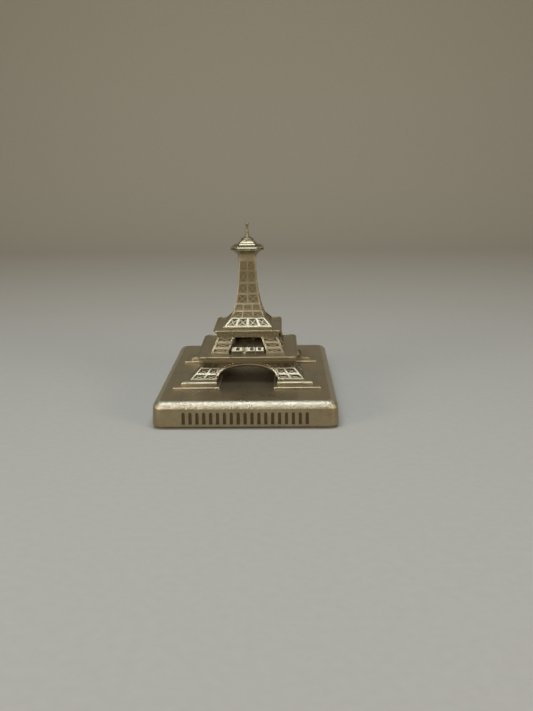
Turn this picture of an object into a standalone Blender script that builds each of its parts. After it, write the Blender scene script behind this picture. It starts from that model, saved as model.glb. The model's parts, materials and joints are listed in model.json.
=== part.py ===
"""Desk model of a lattice tower on a rectangular plinth, as an assembly of separate castings.

Frame: metres, +Z up, origin on the desk under the tower's centre line. The front faces -Y.
Every piece is its own object. Neighbouring pieces keep a seam of 0.3 mm.
"""
import math

import bmesh
import bpy
from mathutils import Matrix, Vector

MM = 0.001
SEAM = 0.3 * MM
SAME_PLACE = 0.01 * MM

# Plinth, felt and closing plate
FELT_THICKNESS = 0.9 * MM
PLATE_THICKNESS = 1.0 * MM
PLINTH_TOP = 11.4 * MM
PLINTH_RIM = 0.7 * MM
PLINTH_HALF_X = 38.0 * MM
PLINTH_HALF_Y = 49.8 * MM
PLINTH_FLARE = 0.5 * MM
PLINTH_CORNER_RADIUS = 4.0 * MM
PLINTH_TOP_RADIUS = 2.8 * MM
PLINTH_BOTTOM_RADIUS = 1.2 * MM
WALL = 3.4 * MM
LEDGE = 1.4 * MM
ROOF_THICKNESS = 3.0 * MM
PLATE_SET_BACK = 0.5 * MM
FELT_INSET = 0.8 * MM
CAVITY_CORNER, REBATE_CORNER, PLATE_CORNER, FELT_CORNER = 1.5 * MM, 2.0 * MM, 1.7 * MM, 1.5 * MM
PLATE_SCREW_X = 29.0 * MM
PLATE_SCREW_Y = 41.0 * MM
BOSS_RADIUS = 3.0 * MM

# Tower levels above the desk, each given as the plinth's top plus a height
PAD_TOP = PLINTH_TOP + 0.9 * MM
BLOCK_TOP = PLINTH_TOP + 1.6 * MM
FOOTING_TOP = PLINTH_TOP + 2.5 * MM
LEG_TOP = PLINTH_TOP + 8.0 * MM
GIRDER_1_BOTTOM = PLINTH_TOP + 8.3 * MM
FASCIA_1_BOTTOM = PLINTH_TOP + 9.6 * MM
GIRDER_1_TOP = PLINTH_TOP + 10.9 * MM
DECK_1_TOP = PLINTH_TOP + 11.7 * MM
MID_LEG_TOP = PLINTH_TOP + 18.7 * MM
RING_BEAM_TOP = PLINTH_TOP + 20.1 * MM
GIRDER_2_TOP = PLINTH_TOP + 21.1 * MM
DECK_2_TOP = PLINTH_TOP + 21.9 * MM
SHAFT_STEP_TOP = PLINTH_TOP + 22.9 * MM
SHAFT_BASE_TOP = PLINTH_TOP + 25.9 * MM
SHAFT_TOP = PLINTH_TOP + 51.0 * MM
CORBEL_TOP = PLINTH_TOP + 56.1 * MM
GALLERY_TOP = PLINTH_TOP + 56.8 * MM
GALLERY_ROOF_TOP = PLINTH_TOP + 58.0 * MM
CABIN_TOP = PLINTH_TOP + 59.9 * MM
DOME_TOP = PLINTH_TOP + 61.4 * MM
SPIRE_TOP = PLINTH_TOP + 67.7 * MM

# Half widths measured from the tower's centre line
PAD_OUTER, PAD_INNER = 31.7 * MM, 11.7 * MM
BLOCK_OUTER, BLOCK_INNER = 28.4 * MM, 13.1 * MM
MOULDING_OUTER = 26.7 * MM
LEG_FOOT_OUTER, LEG_FOOT_INNER = 24.9 * MM, 13.4 * MM
LEG_HEAD_OUTER, LEG_HEAD_INNER = 18.9 * MM, 12.0 * MM
GIRDER_1_HALF = 19.6 * MM
FASCIA_1_HALF = 21.5 * MM
FASCIA_1_SLOPE = 0.4 * MM
DECK_1_HALF = 22.2 * MM
DECK_1_CORNER = 4.0 * MM
GIRDER_1_VOID = 4.8 * MM
MID_FOOT_OUTER, MID_FOOT_INNER = 16.2 * MM, 8.6 * MM
MID_HEAD_OUTER, MID_HEAD_INNER = 13.4 * MM, 5.8 * MM
RING_BEAM_HALF = 13.6 * MM
RING_BEAM_VOID = 4.8 * MM
GIRDER_2_HALF = 14.4 * MM
DECK_2_HALF = 15.2 * MM
DECK_2_CORNER = 2.6 * MM
GIRDER_2_VOID = 4.0 * MM
SHAFT_STEP_HALF = 11.0 * MM
SHAFT_SKIRT_HALF = 10.6 * MM
SHAFT_NECK_HALF = 7.5 * MM
SHAFT_WAIST_HALF = 3.6 * MM
SHAFT_DECAY = 2.6
SHAFT_SWELL = 0.25 * MM

# Tiers above the shaft: half width, and half of each facet that is left between the cut corners
CORBEL_FOOT_HALF, CORBEL_FOOT_CUT = 3.85 * MM, 0.35 * MM
CORBEL_SPREAD, CORBEL_SPREAD_CUT = 3.5 * MM, 2.5 * MM
CORBEL_STEPS = 5
GALLERY_HALF, GALLERY_FACET = 7.6 * MM, 4.6 * MM
GALLERY_LIP_INSET = 0.1 * MM
ROOF_LIP_HEIGHT = 0.2 * MM
ROOF_TOP_HALF, ROOF_TOP_FACET = 5.9 * MM, 4.5 * MM
CABIN_HALF, CABIN_FACET = 4.7 * MM, 3.9 * MM
CABIN_EAVES_HALF, CABIN_EAVES_FACET = 4.1 * MM, 3.4 * MM
CABIN_CAP_HALF, CABIN_CAP_FACET = 3.8 * MM, 3.1 * MM
CABIN_TOP_HALF, CABIN_TOP_FACET = 3.2 * MM, 2.6 * MM
CABIN_WALL_HEIGHT = 0.3 * MM
CABIN_EAVES_HEIGHT = 0.9 * MM
DOME_RADIUS = 2.8 * MM
DOME_NECK_RADIUS = 1.1 * MM
COLLAR_RADIUS = 1.2 * MM
COLLAR_HEIGHT = 0.3 * MM
FLARE_HEIGHT = 2.0 * MM
MAST_RADIUS = 0.5 * MM
FINIAL_RADIUS, FINIAL_TOP_RADIUS = 0.75 * MM, 0.6 * MM
FINIAL_WIDEST = 0.3 * MM
FINIAL_HEIGHT = 1.2 * MM
STEM_DEPTH = 3.4 * MM

# Arches between the lower legs
ARCH_HALF_SPAN = 12.6 * MM
ARCH_SPRING = PLINTH_TOP + 3.6 * MM
ARCH_CROWN = PLINTH_TOP + 7.6 * MM
ARCH_THICKNESS = 1.6 * MM
ARCH_STEPS = 24

# Pavilions on the first deck
PAVILION_HALF = 7.1 * MM
PAVILION_FRONT = 16.0 * MM
PAVILION_BACK = 11.0 * MM
PAVILION_WALL_TOP = PLINTH_TOP + 13.0 * MM
PAVILION_TOP = PLINTH_TOP + 14.4 * MM
PAVILION_BATTER = 1.4 * MM
PAVILION_SHOULDER = 0.6 * MM

# Fasteners
SPIGOT_RADIUS = 1.2 * MM
SPIGOT_LENGTH = 1.3 * MM
SCREW_SEGMENTS = 16
SCREW_CHAMFER = 0.3 * MM
LEG_SCREW_RADIUS, LEG_SCREW_HEAD, LEG_SCREW_HEAD_HEIGHT = 1.3 * MM, 2.6 * MM, 1.6 * MM
MID_SCREW_RADIUS, MID_SCREW_HEAD, MID_SCREW_HEAD_HEIGHT = 0.9 * MM, 1.8 * MM, 1.1 * MM
SHAFT_SCREW_RADIUS, SHAFT_SCREW_HEAD, SHAFT_SCREW_HEAD_HEIGHT = 1.2 * MM, 2.4 * MM, 1.3 * MM
PLATE_SCREW_RADIUS, PLATE_SCREW_TIP, PLATE_SCREW_HEAD = 0.95 * MM, 0.7 * MM, 2.05 * MM
LEG_SCREW_REACH = 2.6 * MM
MID_SCREW_REACH = 3.5 * MM
SHAFT_SCREW_REACH = 6.0 * MM
MID_RECESS_DEPTH = 1.5 * MM
LEG_SCREW_AXIS = 19.5 * MM
MID_SCREW_AXIS = 11.4 * MM
LEG_SPIGOT_AXIS = 15.5 * MM
MID_SPIGOT_AXIS = 9.6 * MM
STEM_RADIUS = 0.6 * MM

CORNERS = {
    "front_left": (-1, -1),
    "front_right": (1, -1),
    "back_left": (-1, 1),
    "back_right": (1, 1),
}
SIDES = {"front": 0.0, "right": math.pi / 2, "back": math.pi, "left": -math.pi / 2}

FINISHES = {
    "cast_bronze": ((0.44, 0.37, 0.21), 0.42, 1.0),
    "steel": ((0.55, 0.55, 0.53), 0.35, 1.0),
    "felt": ((0.03, 0.03, 0.035), 0.95, 0.0),
}


def clear_scene():
    """Empty the scene, so that the script can run twice in one session."""
    for existing in list(bpy.data.objects):
        bpy.data.objects.remove(existing, do_unlink=True)


def make_collection(name):
    """A collection linked to the scene."""
    collection = bpy.data.collections.new(name)
    bpy.context.scene.collection.children.link(collection)
    return collection


def make_material(name, finish):
    """A Principled material for one piece, from the finish's colour, roughness and metallic value."""
    colour, roughness, metallic = FINISHES[finish]
    material = bpy.data.materials.new(name)
    material.use_nodes = True
    shader = material.node_tree.nodes["Principled BSDF"]
    shader.inputs["Base Color"].default_value = (*colour, 1.0)
    shader.inputs["Roughness"].default_value = roughness
    shader.inputs["Metallic"].default_value = metallic
    return material


def add_piece(name, mesh, finish, angle=0.0):
    """Link a mesh as one named piece of the tower, turned about the centre line by angle."""
    piece = bpy.data.objects.new(name, mesh)
    piece.rotation_euler.z = angle
    mesh.materials.clear()
    mesh.materials.append(make_material(name, finish))
    bpy.data.collections["landmark_model"].objects.link(piece)
    return piece


def add_cutter(name, mesh):
    """Link a mesh as a cutter, which is shown as a wire and left out of the model."""
    cutter = bpy.data.objects.new(name, mesh)
    cutter.hide_render = True
    cutter.display_type = "WIRE"
    bpy.data.collections["cutters"].objects.link(cutter)
    return cutter


def combine(piece, other, operation):
    """Cut another object from a piece, or join it on, with an exact Boolean."""
    boolean = piece.modifiers.new(operation.lower(), "BOOLEAN")
    boolean.operation = operation
    boolean.solver = "EXACT"
    boolean.object = other


def mesh_from(bm, name):
    """Finish a bmesh as a mesh datablock."""
    bmesh.ops.recalc_face_normals(bm, faces=bm.faces)
    mesh = bpy.data.meshes.new(name)
    bm.to_mesh(mesh)
    bm.free()
    return mesh


def level_rect(half, z):
    """A square section of a tower level, centred on the tower's axis."""
    return (z, -half, half, -half, half)


def corner_rect(inner, outer, z, corner):
    """A square section that stands between two half widths in one corner of the plan."""
    xs = sorted((corner[0] * inner, corner[0] * outer))
    ys = sorted((corner[1] * inner, corner[1] * outer))
    return (z, xs[0], xs[1], ys[0], ys[1])


def place_rect(verts, section):
    """Move the four vertices of a rectangle onto a section (z, x0, x1, y0, y1)."""
    z, x0, x1, y0, y1 = section
    middle = sum((v.co for v in verts), Vector()) / len(verts)
    for v in verts:
        x = x1 if v.co.x > middle.x else x0
        y = y1 if v.co.y > middle.y else y0
        v.co = (x, y, z)


def stacked_box(name, sections):
    """A solid through rectangular sections: a cube whose top face is extruded level by level."""
    bm = bmesh.new()
    bmesh.ops.create_cube(bm, size=1.0)
    bm.faces.ensure_lookup_table()
    bottom = min(bm.faces, key=lambda face: face.calc_center_median().z)
    top = max(bm.faces, key=lambda face: face.calc_center_median().z)
    place_rect(bottom.verts, sections[0])
    place_rect(top.verts, sections[1])
    for section in sections[2:]:
        top = bmesh.ops.extrude_discrete_faces(bm, faces=[top])["faces"][0]
        place_rect(top.verts, section)
    return mesh_from(bm, name)


def place_octagon(verts, section):
    """Move eight vertices onto a square with cut corners, given as (z, half width, facet half)."""
    z, half, facet = section
    for v in verts:
        wide_x = abs(v.co.x) > abs(v.co.y)
        x = math.copysign(half if wide_x else facet, v.co.x)
        y = math.copysign(facet if wide_x else half, v.co.y)
        v.co = (x, y, z)


def stacked_octagon(name, sections):
    """A solid through square sections with cut corners, extruded level by level."""
    bm = bmesh.new()
    turn = Matrix.Rotation(math.pi / 8, 4, "Z")
    bmesh.ops.create_cone(
        bm, cap_ends=True, segments=8, radius1=1.0, radius2=1.0, depth=1.0, matrix=turn
    )
    bottom = min(bm.faces, key=lambda face: face.calc_center_median().z)
    top = max(bm.faces, key=lambda face: face.calc_center_median().z)
    place_octagon(bottom.verts, sections[0])
    place_octagon(top.verts, sections[1])
    for section in sections[2:]:
        top = bmesh.ops.extrude_discrete_faces(bm, faces=[top])["faces"][0]
        place_octagon(top.verts, section)
    return mesh_from(bm, name)


def cylinder(name, radius, bottom, top, x=0.0, y=0.0, top_radius=None):
    """A closed upright cylinder or cone between two heights."""
    bm = bmesh.new()
    middle = Matrix.Translation((x, y, (bottom + top) / 2))
    bmesh.ops.create_cone(
        bm,
        cap_ends=True,
        segments=SCREW_SEGMENTS,
        radius1=radius,
        radius2=radius if top_radius is None else top_radius,
        depth=top - bottom,
        matrix=middle,
    )
    return mesh_from(bm, name)


def turned(name, profile, finish, x=0.0, y=0.0, steps=SCREW_SEGMENTS):
    """A turned piece: a profile of (radius, z), top to bottom, swept about its own axis."""
    mesh = bpy.data.meshes.new(name)
    points = [(radius, 0.0, z) for radius, z in profile]
    edges = [(i, i + 1) for i in range(len(points) - 1)]
    mesh.from_pydata(points, edges, [])
    piece = add_piece(name, mesh, finish)
    piece.location = (x, y, 0.0)
    screw = piece.modifiers.new("turn", "SCREW")
    screw.steps = steps
    screw.render_steps = steps
    screw.use_merge_vertices = True
    screw.merge_threshold = SAME_PLACE
    return piece


def drill(piece, name, radius, bottom, top, x=0.0, y=0.0, top_radius=None):
    """Drill an upright hole through or into a piece."""
    combine(piece, add_cutter(name, cylinder(name, radius, bottom, top, x, y, top_radius)), "DIFFERENCE")


def add_spigot(piece, name, bottom, x, y):
    """Join a round locating peg onto the top of a piece."""
    peg = cylinder(name, SPIGOT_RADIUS, bottom - MM, bottom + SPIGOT_LENGTH, x, y)
    combine(piece, add_cutter(name, peg), "UNION")


def round_edges(piece, width, segments, choose):
    """Round the edges of a piece's mesh that the choose function picks by their direction and place."""
    bm = bmesh.new()
    bm.from_mesh(piece.data)
    chosen = [edge for edge in bm.edges if choose(edge)]
    bmesh.ops.bevel(
        bm, geom=chosen, offset=width, offset_type="OFFSET", segments=segments,
        profile=0.5, affect="EDGES", clamp_overlap=True,
    )
    bm.to_mesh(piece.data)
    bm.free()


def is_upright(edge):
    """Whether an edge runs mostly up the piece."""
    along = (edge.verts[0].co - edge.verts[1].co).normalized()
    return abs(along.z) > 0.7


def lies_at(z):
    """A test for edges that lie at one height."""
    return lambda edge: all(abs(v.co.z - z) < SAME_PLACE for v in edge.verts)


def screw_profile(head_radius, head_bottom, head_top, shank_radius, shank_top):
    """Profile of a screw driven upwards, with a chamfered head and a chamfered tip."""
    return [
        (0.0, shank_top),
        (shank_radius - SCREW_CHAMFER, shank_top),
        (shank_radius, shank_top - SCREW_CHAMFER),
        (shank_radius, head_top),
        (head_radius, head_top),
        (head_radius, head_bottom + SCREW_CHAMFER),
        (head_radius - SCREW_CHAMFER, head_bottom),
        (0.0, head_bottom),
    ]


def plate_screw_places():
    """Axes of the screws that hold the closing plate."""
    return {name: (sx * PLATE_SCREW_X, sy * PLATE_SCREW_Y) for name, (sx, sy) in CORNERS.items()}


def plinth_outline(inset, bottom, top):
    """A box of the plinth's plan, drawn in by an inset on every side."""
    half_x = PLINTH_HALF_X - inset
    half_y = PLINTH_HALF_Y - inset
    return [
        (bottom, -half_x, half_x, -half_y, half_y),
        (top, -half_x, half_x, -half_y, half_y),
    ]


def make_plinth():
    """Hollow plinth: flared walls, rounded edges, screw bosses and a rebate for the closing plate."""
    flare_x = PLINTH_HALF_X + PLINTH_FLARE
    flare_y = PLINTH_HALF_Y + PLINTH_FLARE
    sections = [
        (PLINTH_RIM, -flare_x, flare_x, -flare_y, flare_y),
        (PLINTH_TOP, -PLINTH_HALF_X, PLINTH_HALF_X, -PLINTH_HALF_Y, PLINTH_HALF_Y),
    ]
    plinth = add_piece("plinth", stacked_box("plinth", sections), "cast_bronze")
    round_edges(plinth, PLINTH_CORNER_RADIUS, 5, is_upright)
    round_edges(plinth, PLINTH_TOP_RADIUS, 4, lies_at(PLINTH_TOP))
    round_edges(plinth, PLINTH_BOTTOM_RADIUS, 2, lies_at(PLINTH_RIM))

    ledge_z = PLINTH_RIM + PLATE_SET_BACK + PLATE_THICKNESS + SEAM
    below = -MM
    cavity = add_cutter(
        "cavity", stacked_box("cavity", plinth_outline(WALL, below, PLINTH_TOP - ROOF_THICKNESS))
    )
    round_edges(cavity, CAVITY_CORNER, 2, is_upright)
    for name, (x, y) in plate_screw_places().items():
        boss = cylinder("boss_" + name, BOSS_RADIUS, ledge_z, PLINTH_TOP, x, y)
        combine(cavity, add_cutter("boss_" + name, boss), "DIFFERENCE")
    combine(plinth, cavity, "DIFFERENCE")
    rebate = add_cutter("rebate", stacked_box("rebate", plinth_outline(WALL - LEDGE, below, ledge_z)))
    round_edges(rebate, REBATE_CORNER, 3, is_upright)
    combine(plinth, rebate, "DIFFERENCE")
    for name, (x, y) in plate_screw_places().items():
        pilot_top = PLINTH_TOP - ROOF_THICKNESS - 2 * SEAM
        drill(plinth, "pilot_" + name, MM + SEAM, below, pilot_top, x, y)
    for name, (sx, sy) in CORNERS.items():
        x, y = sx * LEG_SCREW_AXIS, sy * LEG_SCREW_AXIS
        drill(plinth, "leg_hole_" + name, LEG_SCREW_RADIUS + SEAM, ledge_z, PLINTH_TOP + MM, x, y)


def make_underside():
    """Closing plate in the plinth's rebate, its countersunk screws, and the felt that covers them."""
    plate_bottom = PLINTH_RIM + PLATE_SET_BACK
    plate_top = plate_bottom + PLATE_THICKNESS
    inset = WALL - LEDGE + SEAM
    plate = add_piece(
        "base_plate", stacked_box("base_plate", plinth_outline(inset, plate_bottom, plate_top)), "steel"
    )
    round_edges(plate, PLATE_CORNER, 3, is_upright)
    for name, (x, y) in plate_screw_places().items():
        drill(
            plate, "countersink_" + name, PLATE_SCREW_HEAD + 1.5 * SEAM, plate_bottom - SEAM,
            plate_top + SEAM, x, y, top_radius=PLATE_SCREW_RADIUS + 0.8 * SEAM,
        )
        shank_top = PLINTH_TOP - ROOF_THICKNESS - 4 * SEAM
        profile = [
            (0.0, shank_top),
            (PLATE_SCREW_TIP, shank_top),
            (PLATE_SCREW_RADIUS, shank_top - SCREW_CHAMFER),
            (PLATE_SCREW_RADIUS, plate_top),
            (PLATE_SCREW_HEAD, plate_bottom),
            (0.0, plate_bottom),
        ]
        turned("plate_screw_" + name, profile, "steel", x, y)
    felt = add_piece(
        "felt_pad", stacked_box("felt_pad", plinth_outline(inset + FELT_INSET, 0.0, FELT_THICKNESS)), "felt"
    )
    round_edges(felt, FELT_CORNER, 3, is_upright)


def make_footing(name, corner):
    """Cast footing of one leg: a wide pad, a block and a sloping moulding."""
    sections = [
        corner_rect(PAD_INNER, PAD_OUTER, PLINTH_TOP + SEAM, corner),
        corner_rect(PAD_INNER, PAD_OUTER, PAD_TOP, corner),
        corner_rect(BLOCK_INNER, BLOCK_OUTER, PAD_TOP, corner),
        corner_rect(BLOCK_INNER, BLOCK_OUTER, BLOCK_TOP, corner),
        corner_rect(BLOCK_INNER, MOULDING_OUTER, FOOTING_TOP, corner),
    ]
    footing = add_piece("footing_" + name, stacked_box("footing_" + name, sections), "cast_bronze")
    x, y = corner[0] * LEG_SCREW_AXIS, corner[1] * LEG_SCREW_AXIS
    low, high = PLINTH_TOP - MM, FOOTING_TOP + MM
    drill(footing, "footing_hole_" + name, LEG_SCREW_RADIUS + SEAM, low, high, x, y)


def make_lower_leg(name, corner):
    """Leaning lower leg with a screw hole in its foot and a locating peg on its head."""
    sections = [
        corner_rect(LEG_FOOT_INNER, LEG_FOOT_OUTER, FOOTING_TOP + SEAM, corner),
        corner_rect(LEG_HEAD_INNER, LEG_HEAD_OUTER, LEG_TOP, corner),
    ]
    leg = add_piece("lower_leg_" + name, stacked_box("lower_leg_" + name, sections), "cast_bronze")
    x, y = corner[0] * LEG_SPIGOT_AXIS, corner[1] * LEG_SPIGOT_AXIS
    add_spigot(leg, "leg_peg_" + name, LEG_TOP, x, y)
    screw_x, screw_y = corner[0] * LEG_SCREW_AXIS, corner[1] * LEG_SCREW_AXIS
    hole_top = FOOTING_TOP + LEG_SCREW_REACH
    drill(leg, "leg_pilot_" + name, LEG_SCREW_RADIUS + SEAM, PLINTH_TOP, hole_top, screw_x, screw_y)

    head_top = PLINTH_TOP - ROOF_THICKNESS - SEAM
    head_bottom = head_top - LEG_SCREW_HEAD_HEIGHT
    profile = screw_profile(LEG_SCREW_HEAD, head_bottom, head_top, LEG_SCREW_RADIUS, hole_top - SEAM)
    turned("leg_screw_" + name, profile, "steel", screw_x, screw_y)


def leg_line(z, foot, head):
    """Half width at height z on the straight line from a lower leg's foot to its head."""
    share = (z - FOOTING_TOP) / (LEG_TOP - FOOTING_TOP)
    return foot + (head - foot) * share


def arch_outline():
    """Outline of an arch panel as (x, z): down one leg, round the opening, up the other leg."""
    foot_x = leg_line(ARCH_SPRING, LEG_FOOT_INNER, LEG_HEAD_INNER) - SEAM
    head_x = LEG_HEAD_INNER - SEAM
    rise = ARCH_CROWN - ARCH_SPRING
    opening = []
    for step in range(ARCH_STEPS + 1):
        angle = math.pi * step / ARCH_STEPS
        opening.append((-ARCH_HALF_SPAN * math.cos(angle), ARCH_SPRING + rise * math.sin(angle)))
    haunches = [(head_x, LEG_TOP), (-head_x, LEG_TOP), (-foot_x, ARCH_SPRING)]
    return haunches + opening + [(foot_x, ARCH_SPRING)]


def make_arch(side, angle):
    """Decorative arch that fills the leaning face between two lower legs."""
    name = "arch_" + side
    lean = (LEG_FOOT_OUTER - LEG_HEAD_OUTER) / (LEG_TOP - FOOTING_TOP)
    slope = math.hypot(1.0, lean)
    curve = bpy.data.curves.new(name, "CURVE")
    curve.dimensions = "2D"
    curve.fill_mode = "BOTH"
    curve.extrude = ARCH_THICKNESS / 2
    outline = arch_outline()
    spline = curve.splines.new("POLY")
    spline.points.add(len(outline) - 1)
    for point, (x, z) in zip(spline.points, outline):
        point.co = (x, (z - ARCH_SPRING) * slope, 0.0, 1.0)
    spline.use_cyclic_u = True
    guide = bpy.data.objects.new(name + "_outline", curve)
    bpy.context.scene.collection.objects.link(guide)
    evaluated = guide.evaluated_get(bpy.context.evaluated_depsgraph_get())
    mesh = bpy.data.meshes.new_from_object(evaluated)
    bpy.data.objects.remove(guide, do_unlink=True)

    tilt = Matrix.Rotation(math.pi / 2 - math.atan(lean), 4, "X")
    depth = leg_line(ARCH_SPRING, LEG_FOOT_OUTER, LEG_HEAD_OUTER) - ARCH_THICKNESS / 2 * slope
    bm = bmesh.new()
    bm.from_mesh(mesh)
    bmesh.ops.remove_doubles(bm, verts=bm.verts, dist=SAME_PLACE / 10)
    bm.transform(Matrix.Translation((0.0, -depth, ARCH_SPRING)) @ tilt)
    for v in bm.verts:
        v.co.z = min(v.co.z, LEG_TOP)
    bpy.data.meshes.remove(mesh)
    add_piece(name, mesh_from(bm, name), "cast_bronze", angle)


def make_square_frame(name, sections, void):
    """A stepped square casting with a square opening through its middle."""
    frame = add_piece(name, stacked_box(name, sections), "cast_bronze")
    low, high = sections[0][0] - MM, sections[-1][0] + MM
    opening = stacked_box(name + "_void", [level_rect(void, low), level_rect(void, high)])
    combine(frame, add_cutter(name + "_void", opening), "DIFFERENCE")
    return frame


def make_first_deck():
    """First level: a stepped girder frame and the deck plate with rounded corners."""
    sections = [
        level_rect(GIRDER_1_HALF, GIRDER_1_BOTTOM),
        level_rect(GIRDER_1_HALF, FASCIA_1_BOTTOM),
        level_rect(FASCIA_1_HALF, FASCIA_1_BOTTOM + FASCIA_1_SLOPE),
        level_rect(FASCIA_1_HALF, GIRDER_1_TOP),
    ]
    girder = make_square_frame("deck_1_girder", sections, GIRDER_1_VOID)
    plate_sections = [level_rect(DECK_1_HALF, GIRDER_1_TOP + SEAM), level_rect(DECK_1_HALF, DECK_1_TOP)]
    plate = add_piece("deck_1_plate", stacked_box("deck_1_plate", plate_sections), "cast_bronze")
    round_edges(plate, DECK_1_CORNER, 5, is_upright)
    for name, (sx, sy) in CORNERS.items():
        peg_x, peg_y = sx * LEG_SPIGOT_AXIS, sy * LEG_SPIGOT_AXIS
        peg_top = LEG_TOP + SPIGOT_LENGTH + SEAM
        drill(girder, "peg_hole_" + name, SPIGOT_RADIUS + SEAM, LEG_TOP, peg_top, peg_x, peg_y)
        x, y = sx * MID_SCREW_AXIS, sy * MID_SCREW_AXIS
        recess_top = GIRDER_1_BOTTOM + MID_RECESS_DEPTH
        bore = MID_SCREW_RADIUS + SEAM
        drill(girder, "mid_recess_" + name, MID_SCREW_HEAD + SEAM, LEG_TOP, recess_top, x, y)
        drill(girder, "mid_hole_" + name, bore, GIRDER_1_BOTTOM + MM, DECK_1_TOP, x, y)
        drill(plate, "plate_hole_" + name, bore, GIRDER_1_TOP - MM, DECK_1_TOP + MM, x, y)


def make_mid_leg(name, corner):
    """Leaning leg of the middle stage, with its screw from below and a locating peg on top."""
    bottom = DECK_1_TOP + SEAM
    sections = [
        corner_rect(MID_FOOT_INNER, MID_FOOT_OUTER, bottom, corner),
        corner_rect(MID_HEAD_INNER, MID_HEAD_OUTER, MID_LEG_TOP, corner),
    ]
    leg = add_piece("mid_leg_" + name, stacked_box("mid_leg_" + name, sections), "cast_bronze")
    add_spigot(leg, "mid_peg_" + name, MID_LEG_TOP, corner[0] * MID_SPIGOT_AXIS, corner[1] * MID_SPIGOT_AXIS)
    x, y = corner[0] * MID_SCREW_AXIS, corner[1] * MID_SCREW_AXIS
    hole_top = bottom + MID_SCREW_REACH
    drill(leg, "mid_pilot_" + name, MID_SCREW_RADIUS + SEAM, bottom - MM, hole_top, x, y)
    head_top = GIRDER_1_BOTTOM + MID_RECESS_DEPTH - SEAM
    head_bottom = head_top - MID_SCREW_HEAD_HEIGHT
    profile = screw_profile(MID_SCREW_HEAD, head_bottom, head_top, MID_SCREW_RADIUS, hole_top - SEAM)
    turned("mid_screw_" + name, profile, "steel", x, y)


def make_pavilion(side, angle):
    """Low pavilion on the first deck, between two middle legs, with a battered upper front."""
    half, shoulder = PAVILION_HALF, PAVILION_HALF - PAVILION_SHOULDER
    sections = [
        (DECK_1_TOP + SEAM, -half, half, -PAVILION_FRONT, -PAVILION_BACK),
        (PAVILION_WALL_TOP, -half, half, -PAVILION_FRONT, -PAVILION_BACK),
        (PAVILION_TOP, -shoulder, shoulder, -PAVILION_FRONT + PAVILION_BATTER, -PAVILION_BACK),
    ]
    name = "pavilion_" + side
    add_piece(name, stacked_box(name, sections), "cast_bronze", angle)


def make_second_deck():
    """Second level: lattice ring beam, girder frame and deck plate."""
    ring_bottom = MID_LEG_TOP + SEAM
    ring = make_square_frame(
        "mid_ring_beam",
        [level_rect(RING_BEAM_HALF, ring_bottom), level_rect(RING_BEAM_HALF, RING_BEAM_TOP)],
        RING_BEAM_VOID,
    )
    for name, (sx, sy) in CORNERS.items():
        x, y = sx * MID_SPIGOT_AXIS, sy * MID_SPIGOT_AXIS
        drill(ring, "ring_hole_" + name, SPIGOT_RADIUS + SEAM, ring_bottom - MM, RING_BEAM_TOP + MM, x, y)
    sections = [
        level_rect(GIRDER_2_HALF, RING_BEAM_TOP + SEAM),
        level_rect(GIRDER_2_HALF, GIRDER_2_TOP),
    ]
    make_square_frame("deck_2_girder", sections, GIRDER_2_VOID)
    plate_bottom = GIRDER_2_TOP + SEAM
    plate_sections = [level_rect(DECK_2_HALF, plate_bottom), level_rect(DECK_2_HALF, DECK_2_TOP)]
    plate = add_piece("deck_2_plate", stacked_box("deck_2_plate", plate_sections), "cast_bronze")
    round_edges(plate, DECK_2_CORNER, 4, is_upright)
    drill(plate, "shaft_screw_way", SHAFT_SCREW_RADIUS + SEAM, plate_bottom - MM, DECK_2_TOP + MM)


def shaft_half(z):
    """Half width of the shaft at height z: an exponential flare at the foot, a slight swell on top."""
    share = (z - SHAFT_BASE_TOP) / (SHAFT_TOP - SHAFT_BASE_TOP)
    end = math.exp(-SHAFT_DECAY)
    flare = (math.exp(-SHAFT_DECAY * share) - end) / (1.0 - end)
    swell = SHAFT_SWELL * max(0.0, share - 0.8) / 0.2
    return SHAFT_WAIST_HALF + (SHAFT_NECK_HALF - SHAFT_WAIST_HALF) * flare + swell


def make_shaft():
    """Upper pylon: a stepped, flared base, the tapering shaft, and the screw that holds both down."""
    sections = [
        level_rect(SHAFT_STEP_HALF, DECK_2_TOP + SEAM),
        level_rect(SHAFT_STEP_HALF, SHAFT_STEP_TOP),
        level_rect(SHAFT_SKIRT_HALF, SHAFT_STEP_TOP),
        level_rect(SHAFT_NECK_HALF, SHAFT_BASE_TOP),
    ]
    base = add_piece("shaft_base", stacked_box("shaft_base", sections), "cast_bronze")
    drill(base, "shaft_base_way", SHAFT_SCREW_RADIUS + SEAM, DECK_2_TOP - MM, SHAFT_BASE_TOP + MM)

    bottom = SHAFT_BASE_TOP + SEAM
    steps = 10
    levels = [bottom + (SHAFT_TOP - bottom) * (step / steps) ** 1.3 for step in range(steps + 1)]
    shaft = add_piece(
        "shaft", stacked_box("shaft", [level_rect(shaft_half(z), z) for z in levels]), "cast_bronze"
    )
    hole_top = bottom + SHAFT_SCREW_REACH
    drill(shaft, "shaft_pilot", SHAFT_SCREW_RADIUS + SEAM, bottom - MM, hole_top)
    drill(shaft, "shaft_stem_hole", STEM_RADIUS + SEAM, SHAFT_TOP - STEM_DEPTH - 2 * SEAM, SHAFT_TOP + MM)
    head_top = GIRDER_2_TOP
    head_bottom = head_top - SHAFT_SCREW_HEAD_HEIGHT
    profile = screw_profile(SHAFT_SCREW_HEAD, head_bottom, head_top, SHAFT_SCREW_RADIUS, hole_top - SEAM)
    turned("shaft_screw", profile, "steel")


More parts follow.
